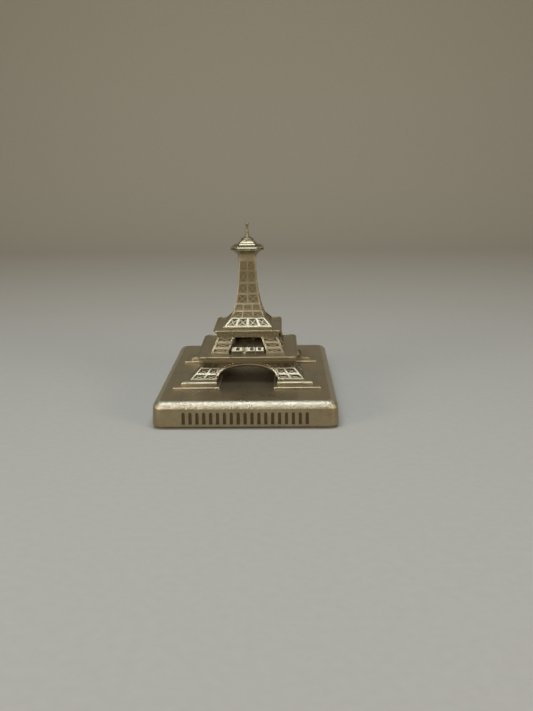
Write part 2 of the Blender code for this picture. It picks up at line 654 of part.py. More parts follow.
def make_top():
    """Corbel, gallery, sloping gallery roof, cabin, dome, and the spire whose stem pins them together."""
    corbel_bottom = SHAFT_TOP + SEAM
    corbel_sections = []
    for step in range(CORBEL_STEPS + 1):
        share = step / CORBEL_STEPS
        half = CORBEL_FOOT_HALF + CORBEL_SPREAD * share ** 2.2
        facet = half - CORBEL_FOOT_CUT - CORBEL_SPREAD_CUT * share ** 1.5
        corbel_sections.append((corbel_bottom + (CORBEL_TOP - corbel_bottom) * share, half, facet))
    roof_bottom = GALLERY_TOP + SEAM
    cabin_bottom = GALLERY_ROOF_TOP + SEAM
    lip_half = GALLERY_HALF - GALLERY_LIP_INSET
    tiers = {
        "corbel": corbel_sections,
        "gallery": [
            (CORBEL_TOP + SEAM, lip_half, GALLERY_FACET),
            (GALLERY_TOP, lip_half, GALLERY_FACET),
        ],
        "gallery_roof": [
            (roof_bottom, GALLERY_HALF, GALLERY_FACET),
            (roof_bottom + ROOF_LIP_HEIGHT, GALLERY_HALF, GALLERY_FACET),
            (GALLERY_ROOF_TOP, ROOF_TOP_HALF, ROOF_TOP_FACET),
        ],
        "cabin": [
            (cabin_bottom, CABIN_HALF, CABIN_FACET),
            (cabin_bottom + CABIN_WALL_HEIGHT, CABIN_HALF, CABIN_FACET),
            (cabin_bottom + CABIN_EAVES_HEIGHT, CABIN_EAVES_HALF, CABIN_EAVES_FACET),
            (cabin_bottom + CABIN_EAVES_HEIGHT, CABIN_CAP_HALF, CABIN_CAP_FACET),
            (CABIN_TOP, CABIN_TOP_HALF, CABIN_TOP_FACET),
        ],
    }
    for name, sections in tiers.items():
        tier = add_piece(name, stacked_octagon(name, sections), "cast_bronze")
        drill(tier, name + "_way", STEM_RADIUS + SEAM, sections[0][0] - MM, sections[-1][0] + MM)

    dome_bottom = CABIN_TOP + SEAM
    dome_height = DOME_TOP - dome_bottom
    dome_profile = [(STEM_RADIUS + SEAM, DOME_TOP)]
    arc_steps = 5
    for step in range(1, arc_steps + 1):
        share = step / arc_steps
        radius = DOME_NECK_RADIUS + (DOME_RADIUS - DOME_NECK_RADIUS) * math.sin(share * math.pi / 2)
        dome_profile.append((radius, dome_bottom + dome_height * math.cos(share * math.pi / 2) ** 0.8))
    dome_profile.append((DOME_RADIUS, dome_bottom))
    dome_profile.append((STEM_RADIUS + SEAM, dome_bottom))
    dome_profile.append((STEM_RADIUS + SEAM, DOME_TOP))
    turned("dome", dome_profile, "cast_bronze", steps=20)

    collar_bottom = DOME_TOP + SEAM
    spire_profile = [
        (0.0, SPIRE_TOP),
        (FINIAL_TOP_RADIUS, SPIRE_TOP),
        (FINIAL_RADIUS, SPIRE_TOP - FINIAL_WIDEST),
        (MAST_RADIUS, SPIRE_TOP - FINIAL_HEIGHT),
        (MAST_RADIUS, collar_bottom + FLARE_HEIGHT),
        (COLLAR_RADIUS, collar_bottom + COLLAR_HEIGHT),
        (COLLAR_RADIUS, collar_bottom),
        (STEM_RADIUS, collar_bottom),
        (STEM_RADIUS, SHAFT_TOP - STEM_DEPTH),
        (0.0, SHAFT_TOP - STEM_DEPTH),
    ]
    turned("spire", spire_profile, "cast_bronze", steps=12)


def main():
    """Build every piece of the model."""
    clear_scene()
    make_collection("landmark_model")
    make_collection("cutters")
    make_plinth()
    make_underside()
    for name, corner in CORNERS.items():
        make_footing(name, corner)
        make_lower_leg(name, corner)
        make_mid_leg(name, corner)
    for side, angle in SIDES.items():
        make_arch(side, angle)
        make_pavilion(side, angle)
    make_first_deck()
    make_second_deck()
    make_shaft()
    make_top()


main()
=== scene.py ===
"""Looks of a palm-size cast desk model: a lattice tower on a rectangular plinth.

The castings are zinc with an antique bronze plating. Every visible casting is rebuilt here with its
sunken lattice panels, mouldings and frieze, and stands for its CAD node. All lengths are in metres.
"""
import json
import logging
import math
from dataclasses import dataclass, field
from enum import Enum
from typing import Callable, Optional, Sequence

import bmesh
import bpy
from mathutils import Matrix, Vector

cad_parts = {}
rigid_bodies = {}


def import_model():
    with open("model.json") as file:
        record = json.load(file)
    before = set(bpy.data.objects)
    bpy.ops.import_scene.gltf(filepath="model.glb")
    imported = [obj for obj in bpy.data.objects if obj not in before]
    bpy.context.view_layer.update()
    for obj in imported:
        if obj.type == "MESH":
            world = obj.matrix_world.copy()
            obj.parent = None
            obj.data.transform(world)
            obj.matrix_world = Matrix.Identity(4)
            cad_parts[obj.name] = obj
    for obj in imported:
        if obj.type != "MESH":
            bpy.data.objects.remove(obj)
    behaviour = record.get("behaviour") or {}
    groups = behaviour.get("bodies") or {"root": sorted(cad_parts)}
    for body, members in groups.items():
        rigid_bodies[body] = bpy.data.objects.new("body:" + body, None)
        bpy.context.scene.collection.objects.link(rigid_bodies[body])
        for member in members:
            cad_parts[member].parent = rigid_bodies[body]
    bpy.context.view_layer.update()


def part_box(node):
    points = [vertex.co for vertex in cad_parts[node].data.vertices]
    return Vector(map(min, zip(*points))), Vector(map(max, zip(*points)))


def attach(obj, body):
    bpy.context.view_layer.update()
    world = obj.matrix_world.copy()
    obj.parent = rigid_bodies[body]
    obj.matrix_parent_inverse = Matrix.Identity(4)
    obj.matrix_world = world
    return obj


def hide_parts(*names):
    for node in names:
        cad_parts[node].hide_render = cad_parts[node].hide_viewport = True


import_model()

MM = 0.001
ROOT = "root"
SMOOTH_ANGLE = math.radians(32.0)
EDGE_ANGLE = math.radians(25.0)
LATTICE_BAR = 0.12 * MM
UP = Vector((0.0, 0.0, 1.0))
LOG = logging.getLogger("desk_model")

Ring = list[Vector]
Rows = list[tuple[float, ...]]
Pair = tuple[float, float]
Face = bmesh.types.BMFace
Mesh = bpy.types.Mesh
NodeTree = bpy.types.NodeTree
NodeSocket = bpy.types.NodeSocket


class Slot(Enum):
    """Material slots of the record."""

    PLINTH = "plinth_casting"
    TOWER = "tower_casting"
    PLATE = "steel_plate"
    SCREWS = "steel_screws"
    FELT = "felt"


class Corner(Enum):
    """Corners of the plan, as signs of X and Y."""

    FRONT_LEFT = (-1, -1)
    FRONT_RIGHT = (1, -1)
    BACK_LEFT = (-1, 1)
    BACK_RIGHT = (1, 1)

    @property
    def tag(self) -> str:
        """Name of the corner as the nodes spell it."""
        return self.name.lower()


class Side(Enum):
    """Sides of the tower, in quarter turns from the front."""

    FRONT = 0
    RIGHT = 1
    BACK = 2
    LEFT = 3

    @property
    def tag(self) -> str:
        """Name of the side as the nodes spell it."""
        return self.name.lower()

    @property
    def turn(self) -> Matrix:
        """Rotation that brings the front to this side."""
        return Matrix.Rotation(self.value * math.pi / 2, 4, "Z")


def linear(colour: str) -> tuple[float, float, float, float]:
    """Turn an sRGB hex colour into linear RGBA.

    Args:
        colour: A string such as "#BCAC85".

    Returns:
        The linear colour with alpha 1.
    """
    parts = []
    for start in (1, 3, 5):
        value = int(colour[start:start + 2], 16) / 255.0
        parts.append(value / 12.92 if value <= 0.04045 else ((value + 0.055) / 1.055) ** 2.4)
    return (parts[0], parts[1], parts[2], 1.0)


def add_node(tree: NodeTree, kind: str, inputs: Optional[dict] = None, **settings) -> bpy.types.Node:
    """Add a node with its settings, constants and links.

    Args:
        tree: Node tree that takes the node.
        kind: Blender's identifier of the node type.
        inputs: For each input a constant, a socket to link, or a node whose first output is linked.
        **settings: Properties of the node.

    Returns:
        The new node.
    """
    node = tree.nodes.new(kind)
    for name, value in settings.items():
        setattr(node, name, value)
    for key, value in (inputs or {}).items():
        if isinstance(value, bpy.types.Node):
            value = next(socket for socket in value.outputs if socket.enabled)
        if isinstance(value, NodeSocket):
            tree.links.new(value, node.inputs[key])
        else:
            node.inputs[key].default_value = value
    return node


# Finishes


@dataclass(frozen=True)
class Finish:
    """A procedural finish laid out over the piece's own coordinates."""

    name: str

    def shade(self, tree: NodeTree, place: NodeSocket) -> dict:
        """Add the finish's nodes and return what they feed to the Principled shader."""
        raise NotImplementedError

    def material(self) -> bpy.types.Material:
        """Build the material.

        Returns:
            The procedural material.
        """
        material = bpy.data.materials.new(self.name)
        material.use_nodes = True
        tree = material.node_tree
        tree.nodes.clear()
        place = add_node(tree, "ShaderNodeTexCoord").outputs["Object"]
        shader = add_node(tree, "ShaderNodeBsdfPrincipled", self.shade(tree, place))
        add_node(tree, "ShaderNodeOutputMaterial", {"Surface": shader})
        return material


@dataclass(frozen=True)
class AntiqueBronze(Finish):
    """Zinc alloy cast in a sand-faced mould, bronze plated, darkened and rubbed back.

    The eye gets a satin metal with a pebbly grain that sparkles where light glances off it, a dark
    patina with painted shade held in every recess, and paler metal on the edges that is partly rubbed
    wear and partly painted highlight.
    """

    metal_dark: str = "#938465"
    metal_light: str = "#9D8E6E"
    # Dark tone: patina and painted shade in recesses, and the pits of the grain.
    patina: str = "#443A25"
    # Pale tone: rubbed wear and painted highlight on the edges.
    rubbed_and_highlight: str = "#D4CBB0"
    patina_and_shade_share: float = 0.8
    rubbed_and_highlight_share: float = 0.4
    grain: float = 0.6 * MM
    grain_height: float = 0.2 * MM
    flat_grain: float = 0.8
    cloud: float = 9.0 * MM
    roughness: float = 0.27
    patina_roughness: float = 0.22
    metallic: float = 0.84

    def shade(self, tree: NodeTree, place: NodeSocket) -> dict:
        """Cloud and speckle the metal; patina and painted shade in recesses, wear and painted highlight on
        edges.

        Args:
            tree: The material's node tree.
            place: The piece's coordinates.

        Returns:
            Inputs of the Principled shader.
        """
        clouds = add_node(tree, "ShaderNodeTexNoise", {
            "Vector": place, "Scale": 1.0 / self.cloud, "Detail": 5.0, "Roughness": 0.62})
        pebbles = add_node(tree, "ShaderNodeTexNoise", {
            "Vector": place, "Scale": 1.0 / self.grain, "Detail": 3.0, "Roughness": 0.55})
        recess, edge = (add_node(tree, "ShaderNodeAttribute", attribute_name=name).outputs["Fac"]
                        for name in ("patina", "wear"))
        cloudy = add_node(tree, "ShaderNodeMapRange", {"Value": clouds, "From Min": 0.36, "From Max": 0.64})
        speckle = add_node(tree, "ShaderNodeMapRange", {
            "Value": pebbles, "From Min": 0.3, "From Max": 0.55, "To Min": 0.2, "To Max": 0.0})
        # Patina and painted shade: the recess mask mixes in the dark tone.
        held = add_node(tree, "ShaderNodeMath", {0: recess, 1: self.patina_and_shade_share}, operation="MULTIPLY")
        # Rubbed wear and painted highlight: the edge mask mixes in the pale tone.
        bright = add_node(tree, "ShaderNodeMath", {0: edge, 1: self.rubbed_and_highlight_share}, operation="MULTIPLY")
        colour = linear(self.metal_dark)
        for share, tone in ((cloudy, self.metal_light), (speckle, self.patina), (held, self.patina),
                            (bright, self.rubbed_and_highlight)):
            colour = add_node(tree, "ShaderNodeMix", {0: share, 6: colour, 7: linear(tone)}, data_type="RGBA")
        smooth = add_node(tree, "ShaderNodeMapRange", {
            "Value": clouds, "To Min": self.roughness - 0.05, "To Max": self.roughness + 0.09})
        rough = add_node(tree, "ShaderNodeMath", {0: recess, 1: self.patina_roughness, 2: smooth},
                         operation="MULTIPLY_ADD")
        strength = add_node(tree, "ShaderNodeMapRange", {
            "Value": edge, "To Min": self.flat_grain, "To Max": 1.0})
        bump = add_node(tree, "ShaderNodeBump", {
            "Height": pebbles, "Strength": strength, "Distance": self.grain_height})
        return {"Base Color": colour, "Metallic": self.metallic, "Roughness": rough, "Normal": bump}


@dataclass(frozen=True)
class ZincPlatedSteel(Finish):
    """Pressed steel with a bright zinc plating: cool grey, with the faint spangle of the bath."""

    bright: str = "#C4C6C4"
    dull: str = "#9A9C98"
    spangle: float = 1.8 * MM
    roughness: float = 0.3

    def shade(self, tree: NodeTree, place: NodeSocket) -> dict:
        """Spread the spangle over colour, roughness and relief.

        Args:
            tree: The material's node tree.
            place: The piece's coordinates.

        Returns:
            Inputs of the Principled shader.
        """
        cells = add_node(tree, "ShaderNodeTexVoronoi", {"Vector": place, "Scale": 1.0 / self.spangle},
                         feature="F1")
        haze = add_node(tree, "ShaderNodeTexNoise", {
            "Vector": place, "Scale": 0.3 / self.spangle, "Detail": 4.0})
        share = add_node(tree, "ShaderNodeMath", {0: cells, 1: 0.5, 2: 0.1}, operation="MULTIPLY_ADD")
        colour = add_node(tree, "ShaderNodeMix", {0: share, 6: linear(self.bright), 7: linear(self.dull)},
                          data_type="RGBA")
        rough = add_node(tree, "ShaderNodeMapRange", {
            "Value": haze, "To Min": self.roughness - 0.08, "To Max": self.roughness + 0.14})
        bump = add_node(tree, "ShaderNodeBump", {"Height": cells, "Strength": 0.3, "Distance": 0.01 * MM})
        return {"Base Color": colour, "Metallic": 1.0, "Roughness": rough, "Normal": bump}


@dataclass(frozen=True)
class PressedFelt(Finish):
    """Pressed wool felt, dyed near black: matted fibres that catch a little light at grazing angles."""

    dark: str = "#17171A"
    fibre: str = "#34343A"
    mat_size: float = 0.7 * MM

    def shade(self, tree: NodeTree, place: NodeSocket) -> dict:
        """Lay stretched, tangled fibres.

        Args:
            tree: The material's node tree.
            place: The piece's coordinates.

        Returns:
            Inputs of the Principled shader.
        """
        stretched = add_node(tree, "ShaderNodeMapping", {"Vector": place, "Scale": (1.0, 3.0, 1.0)})
        fibres = add_node(tree, "ShaderNodeTexNoise", {
            "Vector": stretched, "Scale": 1.0 / self.mat_size, "Detail": 6.0, "Roughness": 0.7,
            "Distortion": 1.2})
        share = add_node(tree, "ShaderNodeMapRange", {"Value": fibres, "From Min": 0.4, "From Max": 0.7})
        colour = add_node(tree, "ShaderNodeMix", {0: share, 6: linear(self.dark), 7: linear(self.fibre)},
                          data_type="RGBA")
        bump = add_node(tree, "ShaderNodeBump", {"Height": fibres, "Strength": 0.7, "Distance": 0.12 * MM})
        return {"Base Color": colour, "Roughness": 0.95, "Sheen Weight": 0.35, "Sheen Roughness": 0.6,
                "Normal": bump}


@dataclass(frozen=True)
class PaleCard(Finish):
    """Matt pale card under and behind the model, with the faint clouding of its pulp."""

    tone: str = "#A09A8C"
    fleck: str = "#989285"
    pulp_size: float = 3.0 * MM

    def shade(self, tree: NodeTree, place: NodeSocket) -> dict:
        """Cloud the card between its two tones.

        Args:
            tree: The material's node tree.
            place: The piece's coordinates.

        Returns:
            Inputs of the Principled shader.
        """
        pulp = add_node(tree, "ShaderNodeTexNoise", {
            "Vector": place, "Scale": 1.0 / self.pulp_size, "Detail": 4.0})
        colour = add_node(tree, "ShaderNodeMix", {0: pulp, 6: linear(self.tone), 7: linear(self.fleck)},
                          data_type="RGBA")
        return {"Base Color": colour, "Roughness": 0.85}


# Sections and levels


def rect_ring(x0: float, x1: float, y0: float, y1: float, z: float) -> Ring:
    """Corners of a rectangular section, anticlockwise from the front left."""
    return [Vector((x0, y0, z)), Vector((x1, y0, z)), Vector((x1, y1, z)), Vector((x0, y1, z))]


def square_ring(half: float, z: float) -> Ring:
    """Corners of a centred square section, anticlockwise from the front left."""
    return rect_ring(-half, half, -half, half, z)


def corner_ring(inner: float, outer: float, z: float, corner: Corner) -> Ring:
    """Square section that stands in one corner of the plan, between two half widths."""
    (x0, x1), (y0, y1) = (sorted((sign * inner, sign * outer)) for sign in corner.value)
    return rect_ring(x0, x1, y0, y1, z)


def cut_corner_ring(half: float, facet: float, z: float) -> Ring:
    """Square section with cut corners; facet is half of what is left of each side."""
    quarter = [Vector((-facet, -half, 0.0)), Vector((facet, -half, 0.0))]
    return [side.turn @ point + UP * z for side in Side for point in quarter]


def rounded_ring(half_x: float, half_y: float, radius: float, z: float, segments: int = 8) -> Ring:
    """Rectangular section with round corners, anticlockwise from the front left corner.

    Args:
        half_x: Half width.
        half_y: Half depth.
        radius: Corner radius.
        z: Height.
        segments: Segments of each corner.

    Returns:
        The section's points.
    """
    ring = []
    for quarter, (sx, sy) in enumerate(((-1, -1), (1, -1), (1, 1), (-1, 1))):
        centre = Vector((sx * (half_x - radius), sy * (half_y - radius), z))
        for turn in right_angle(segments):
            angle = math.pi * (1.0 + quarter / 2) + turn
            ring.append(centre + Vector((radius * math.cos(angle), radius * math.sin(angle), 0.0)))
    return ring


def round_ring(radius: float, z: float, x: float = 0.0, y: float = 0.0, count: int = 24) -> Ring:
    """Circular section, anticlockwise."""
    return [Vector((x + radius * math.cos(2 * math.pi * i / count),
                    y + radius * math.sin(2 * math.pi * i / count), z)) for i in range(count)]


def right_angle(steps: int) -> list[float]:
    """Angles from zero to a right angle in equal steps."""
    return [math.pi / 2 * step / steps for step in range(steps + 1)]


def stepped(base: Sequence[float], *rows: Sequence[float]) -> Rows:
    """Rows of sizes, each base in metres with the row's millimetres added."""
    return [tuple(start + step * MM for start, step in zip(base, row)) for row in rows]


def row_levels(low: float, high: float, shares: Sequence[float]) -> list[float]:
    """Heights of the rows of a lattice, with a thin bar between one row and the next.

    Args:
        low: Height of the first row's foot.
        high: Height of the last row's head.
        shares: Borders of the rows as shares of the whole height, from 0 to 1.

    Returns:
        The heights from low to high, two at every inner border.
    """
    levels = [low]
    for share in shares[1:-1]:
        border = low + (high - low) * share
        levels += [border - LATTICE_BAR / 2, border + LATTICE_BAR / 2]
    return levels + [high]


def foot_of(node: str) -> float:
    """Height of a CAD node's underside."""
    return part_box(node)[0].z


def top_of(node: str) -> float:
    """Height of a CAD node's top."""
    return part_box(node)[1].z


# Mesh building


def new_object(name: str, data: bpy.types.ID) -> bpy.types.Object:
    """Add an object to the scene.

    Args:
        name: Its name.
        data: Its mesh, light or camera.

    Returns:
        The object.
    """
    item = bpy.data.objects.new(name, data)
    bpy.context.scene.collection.objects.link(item)
    return item


def mesh_through(source: bpy.types.Object) -> Mesh:
    """Plain mesh of an object as its modifiers leave it."""
    bpy.context.view_layer.update()
    return bpy.data.meshes.new_from_object(source.evaluated_get(bpy.context.evaluated_depsgraph_get()))


def skin(bm: bmesh.types.BMesh, rings: Sequence[Ring]) -> list[list[Face]]:
    """Close a skin over sections of equal point count.

    Args:
        bm: Mesh that takes the skin.
        rings: Sections from first to last, each anticlockwise seen against the direction of travel.

    Returns:
        The side faces, one list for each pair of sections.
    """
    rows = [[bm.verts.new(point) for point in ring] for ring in rings]
    count = len(rings[0])
    bands = []
    for low, high in zip(rows, rows[1:]):
        bands.append([bm.faces.new((low[i], low[(i + 1) % count], high[(i + 1) % count], high[i]))
                      for i in range(count)])
    bm.faces.new(reversed(rows[0]))
    bm.faces.new(rows[-1])
    return bands


def unit_mesh(*rings: Ring) -> Mesh:
    """Closed mesh over sections, for a repeated unit or a cutter.

    Args:
        *rings: Its sections.

    Returns:
        The mesh, with its faces turned outwards.
    """
    bm = bmesh.new()
    skin(bm, rings)
    bmesh.ops.recalc_face_normals(bm, faces=bm.faces)
    mesh = bpy.data.meshes.new("unit")
    bm.to_mesh(mesh)
    bm.free()
    return mesh


class Casting:
    """One closed casting while it is built.

    Its faces carry two numbers for the finish: patina with painted shade, from 0 on the outside to 1
    on the floor of a recess, and wear with painted highlight, which is 1 on a rubbed edge.
    """

    def __init__(self, *rings: Ring) -> None:
        """Start a casting.

        Args:
            *rings: Sections of its first skin, if any; self.bands holds the side faces of that skin.
        """
        self.bm = bmesh.new()
        self.fetch_layers()
        self.bands = self.loft(*rings) if rings else []

    def fetch_layers(self) -> None:
        """Find the finish layers, or add them."""
        layers = self.bm.faces.layers.float
        # Layers for patina with painted shade, and for rubbed wear with painted highlight.
        self.patina = layers.get("patina") or layers.new("patina")
        self.wear = layers.get("wear") or layers.new("wear")

    def loft(self, *rings: Ring) -> list[list[Face]]:
        """Add a skin over sections.

        Args:
            *rings: Sections from first to last.

        Returns:
            The side faces, one list for each pair of sections.
        """
        bands = skin(self.bm, rings)
        self.bm.normal_update()
        return bands

    def add_mesh(self, mesh: Mesh, patina: float = 0.0) -> None:
        """Add a finished mesh to the casting, and drop it.

        Args:
            mesh: The mesh.
            patina: Patina and painted shade of its faces.
        """
        known = set(self.bm.faces)
        self.bm.from_mesh(mesh)
        self.fetch_layers()
        # The new faces take patina and painted shade.
        for face in self.bm.faces:
            if face not in known:
                face[self.patina] = patina
        bpy.data.meshes.remove(mesh)

    @staticmethod
    def corners(face: Face) -> tuple:
        """Corners of an upright four-sided face.

        Args:
            face: The face.

        Returns:
            Its vertices low left, low right, high right and high left.
        """
        across = UP.cross(face.normal)
        verts = sorted(face.verts, key=lambda v: v.co.z)
        low, high = (sorted(pair, key=lambda v: v.co.dot(across)) for pair in (verts[:2], verts[2:]))
        return low[0], low[1], high[1], high[0]

    def split_columns(self, face: Face, shares: Sequence[Pair]) -> list[Face]:
        """Split an upright face into columns.

        Args:
            face: A four-sided face.
            shares: Place of each split along the low and the high edge, from left to right.

        Returns:
            The columns from left to right.
        """
        columns = []
        done = (0.0, 0.0)
        for split in shares:
            low_left, low_right, high_right, high_left = self.corners(face)
            across = UP.cross(face.normal)
            points = []
            for start, end, share, gone in zip((low_left, high_left), (low_right, high_right), split, done):
                edge = self.bm.edges.get((start, end))
                points.append(bmesh.utils.edge_split(edge, start, (share - gone) / (1.0 - gone))[1])
            other = bmesh.utils.face_split(face, *points)[0]
            left, face = sorted((face, other), key=lambda f: f.calc_center_median().dot(across))
            columns.append(left)
            done = split
        return columns + [face]

    def sink(self, faces: list[Face], rim: float, depth: float, draft: float = 0.07 * MM,
             patina: float = 1.0) -> None:
        """Sink a pocket into each face, with a flat rim round it.

        Args:
            faces: Faces to sink; they become the pockets' floors.
            rim: Width of the flat rim.
            depth: Depth of the pocket.
            draft: How far the wall leans in over its depth.
            patina: Patina and painted shade held on the floor.
        """
        bmesh.ops.inset_individual(self.bm, faces=faces, thickness=rim, use_even_offset=True)
        walls = bmesh.ops.inset_individual(self.bm, faces=faces, thickness=draft, depth=-depth,
                                           use_even_offset=True)["faces"]
        # Patina and painted shade: a part on the walls, all of it on the floors.
        for face in walls:
            face[self.patina] = 0.6 * patina
        for face in faces:
            face[self.patina] = patina

    def cross(self, floors: list[Face], bar: float, depth: float, draft: float = 0.05 * MM,
              patina: float = 1.0) -> None:
        """Leave a diagonal cross standing on each floor by sinking the triangles between its bars.

        Args:
            floors: Four-sided pocket floors.
            bar: Width of the bars.
            depth: How far the triangles go below the bars.
            draft: How far the bars' walls lean over that depth.
            patina: Patina and painted shade held on the floor.
        """
        triangles = bmesh.ops.poke(self.bm, faces=floors)["faces"]
        # Patina and painted shade: a part round the bars, all of it on the triangles' floors.
        for face in triangles:
            face[self.patina] = 0.4 * patina
        self.sink(triangles, bar / 2, depth, draft, patina)

    def soften(self, width: float) -> None:
        """Round the outer edges, and mark them for rubbed wear and painted highlight.

        Args:
            width: Width of the rounding.
        """
        edges = [edge for edge in self.bm.edges
                 if len(edge.link_faces) == 2 and edge.is_convex and edge.calc_face_angle(0.0) > EDGE_ANGLE
                 and all(face[self.patina] == 0.0 for face in edge.link_faces)]
        rounded = bmesh.ops.bevel(self.bm, geom=edges, offset=width, offset_type="OFFSET", segments=2,
                                  profile=0.5, affect="EDGES", clamp_overlap=True)
        # Rubbed wear and painted highlight on the rounded faces.
        for face in rounded["faces"]:
            face[self.wear] = 1.0

    def spread(self, layer: bmesh.types.BMLayerItem, amount: float) -> None:
        """Raise the patina with painted shade, or the wear with painted highlight, of every face to this
        amount.
        """
        for face in self.bm.faces:
            face[layer] = max(face[layer], amount)

    def cut(self, cutter: Mesh, in_recess: Callable[[Vector], bool] = lambda centre: False) -> None:
        """Cut a closed mesh out of the casting.

        Args:
            cutter: The mesh to cut away; it is dropped afterwards.
            in_recess: Tells whether a face with this centre lies in the cut, and takes patina and painted
                shade.
        """
        mesh = bpy.data.meshes.new("blank")
        self.bm.to_mesh(mesh)
        blank = new_object("blank", mesh)
        tool = new_object("tool", cutter)
        boolean = blank.modifiers.new("cut", "BOOLEAN")
        boolean.operation = "DIFFERENCE"
        boolean.solver = "EXACT"
        boolean.object = tool
        result = mesh_through(blank)
        self.bm.clear()
        self.bm.from_mesh(result)
        self.fetch_layers()
        bpy.data.batch_remove((blank, tool, mesh, cutter, result))
        # Patina and painted shade on the faces in the cut.
        for face in self.bm.faces:
            if in_recess(face.calc_center_median()):
                face[self.patina] = 1.0


@dataclass(frozen=True)
class Lattice:
    """Sizes of crossed panels that stand side by side in a row.

    The strip is kept flat at both ends of the row, the rim runs round each panel, and the bars of a
    cross stand in the pocket, cross_depth above its deepest floor.
    """

    strip: float
    rim: float
    pocket: float
    bar: float
    cross_depth: float = 0.35 * MM
    draft: float = 0.07 * MM
    cross_draft: float = 0.05 * MM
    # Patina and painted shade held in the pockets.
    patina: float = 1.0

    def carve(self, casting: Casting, face: Face, dividers: Sequence[Pair] = ()) -> None:
        """Sink a row of panels into an upright face.

        Args:
            casting: The casting.
            face: Its four-sided face.
            dividers: Place of each bar between two panels along the low and the high edge.
        """
        low_left, low_right, high_right, high_left = casting.corners(face)
        low = self.strip / (low_right.co - low_left.co).length
        high = self.strip / (high_right.co - high_left.co).length
        pockets = casting.split_columns(face, [(low, high), *dividers, (1.0 - low, 1.0 - high)])[1:-1]
        casting.sink(pockets, self.rim, self.pocket, self.draft, self.patina)
        casting.cross(pockets, self.bar, self.cross_depth, self.cross_draft, self.patina)


def even_shares(count: int) -> list[Pair]:
    """Borders between equal columns, as shares of the low and the high edge."""
    return [(i / count, i / count) for i in range(1, count)]


class NodeTool:
    """Geometry Nodes tree with named inputs that makes a mesh from a wire."""

    def __init__(self, name: str, **inputs: str) -> None:
        """Start the tree.

        Args:
            name: Its name.
            **inputs: Socket type by input name, after the wire and the finish.
        """
        self.tree = bpy.data.node_groups.new(name, "GeometryNodeTree")
        for title, kind in {"Wire": "Geometry", "Finish": "Material", **inputs}.items():
            self.tree.interface.new_socket(title, in_out="INPUT", socket_type="NodeSocket" + kind)
        self.tree.interface.new_socket("Result", in_out="OUTPUT", socket_type="NodeSocketGeometry")
        self.given = self.add("NodeGroupInput").outputs
        self.curve = self.add("GeometryNodeMeshToCurve", {"Mesh": self.given["Wire"]})

    def add(self, kind: str, inputs: Optional[dict] = None, **settings) -> bpy.types.Node:
        """Add a node to the tree."""
        return add_node(self.tree, kind, inputs, **settings)

    def close(self, geometry: bpy.types.Node) -> None:
        """End the tree in one plain mesh that wears the finish.

        Args:
            geometry: Node whose first output is the geometry.
        """
        solid = self.add("GeometryNodeRealizeInstances", {"Geometry": geometry})
        dressed = self.add("GeometryNodeSetMaterial", {"Geometry": solid, "Material": self.given["Finish"]})
        self.add("NodeGroupOutput", {"Result": dressed})

    def run(self, points: Sequence[Vector], edges: Sequence[tuple[int, int]], values: dict) -> Mesh:
        """Make the mesh.

        Args:
            points: Points of the wire.
            edges: Its edges, as pairs of point numbers.
            values: Value by input name.

        Returns:
            The plain mesh, without material slots.
        """
        wire = bpy.data.meshes.new("wire")
        wire.from_pydata(points, edges, [])
        carrier = new_object("carrier", wire)
        modifier = carrier.modifiers.new("tool", "NODES")
        modifier.node_group = self.tree
        for item in self.tree.interface.items_tree:
            if item.item_type == "SOCKET" and item.in_out == "INPUT" and item.name in values:
                modifier[item.identifier] = values[item.name]
        result = mesh_through(carrier)
        bpy.data.batch_remove((carrier, wire))
        result.materials.clear()
        return result


class RowTool(NodeTool):
    """Repeats one unit evenly along each stretch of a path."""

    def __init__(self) -> None:
        """Build the tree once; every row shares it."""
        super().__init__("row_along_path", Unit="Object", Count="Int")
        points = self.add("GeometryNodeCurveToPoints", {"Curve": self.curve, "Count": self.given["Count"]},
                          mode="COUNT")
        turn = self.add("FunctionNodeAlignRotationToVector", {"Vector": points.outputs["Tangent"]},
                        axis="X", pivot_axis="Z")
        unit = self.add("GeometryNodeObjectInfo", {"Object": self.given["Unit"]}).outputs["Geometry"]
        self.close(self.add("GeometryNodeInstanceOnPoints", {
            "Points": points, "Instance": unit, "Rotation": turn}))

    def make(self, stretches: Sequence[Sequence[Vector]], unit: Mesh, count: int) -> Mesh:
        """Repeat a unit along straight or bent stretches.

        Args:
            stretches: Each stretch as its points; the unit's X axis follows it.
            unit: Closed mesh of the unit, about its own origin; it is dropped afterwards.
            count: Units on each stretch, the first and last at its ends.

        Returns:
            One plain mesh of the whole row.
        """
        points = []
        edges = []
        for stretch in stretches:
            edges += [(len(points) + i, len(points) + i + 1) for i in range(len(stretch) - 1)]
            points += stretch
        sample = new_object("unit", unit)
        row = self.run(points, edges, {"Unit": sample, "Count": count})
        bpy.data.batch_remove((sample, unit))
        return row


class FlareTool(NodeTool):
    """Sweeps a square up a line, with a half width that falls off exponentially with height."""

    def __init__(self) -> None:
        """Build the tree, with the sizes of the rule as its inputs."""
        names = ("Low", "High", "Foot Half", "Waist Half", "Decay")
        super().__init__("flared_shaft", **{name: "Float" for name in names})
        low, high, foot, waist, decay = (self.given[name] for name in names)
        height = self.add("ShaderNodeSeparateXYZ", {"Vector": self.add("GeometryNodeInputPosition")})
        share = self.add("ShaderNodeMapRange", {
            "Value": height.outputs["Z"], "From Min": low, "From Max": high})
        minus = self.add("ShaderNodeMath", {0: decay, 1: -1.0}, operation="MULTIPLY")
        fall = self.add("ShaderNodeMath", {0: share, 1: minus}, operation="MULTIPLY")
        here, end = (self.add("ShaderNodeMath", {0: math.e, 1: power}, operation="POWER")
                     for power in (fall, minus))
        flare = self.add("ShaderNodeMapRange", {
            "Value": here, "From Min": end, "From Max": 1.0, "To Min": waist, "To Max": foot})
        square = self.add("GeometryNodeCurvePrimitiveQuadrilateral", {"Width": 2.0, "Height": 2.0})
        self.close(self.add("GeometryNodeCurveToMesh", {
            "Curve": self.curve, "Profile Curve": square, "Scale": flare, "Fill Caps": True}))


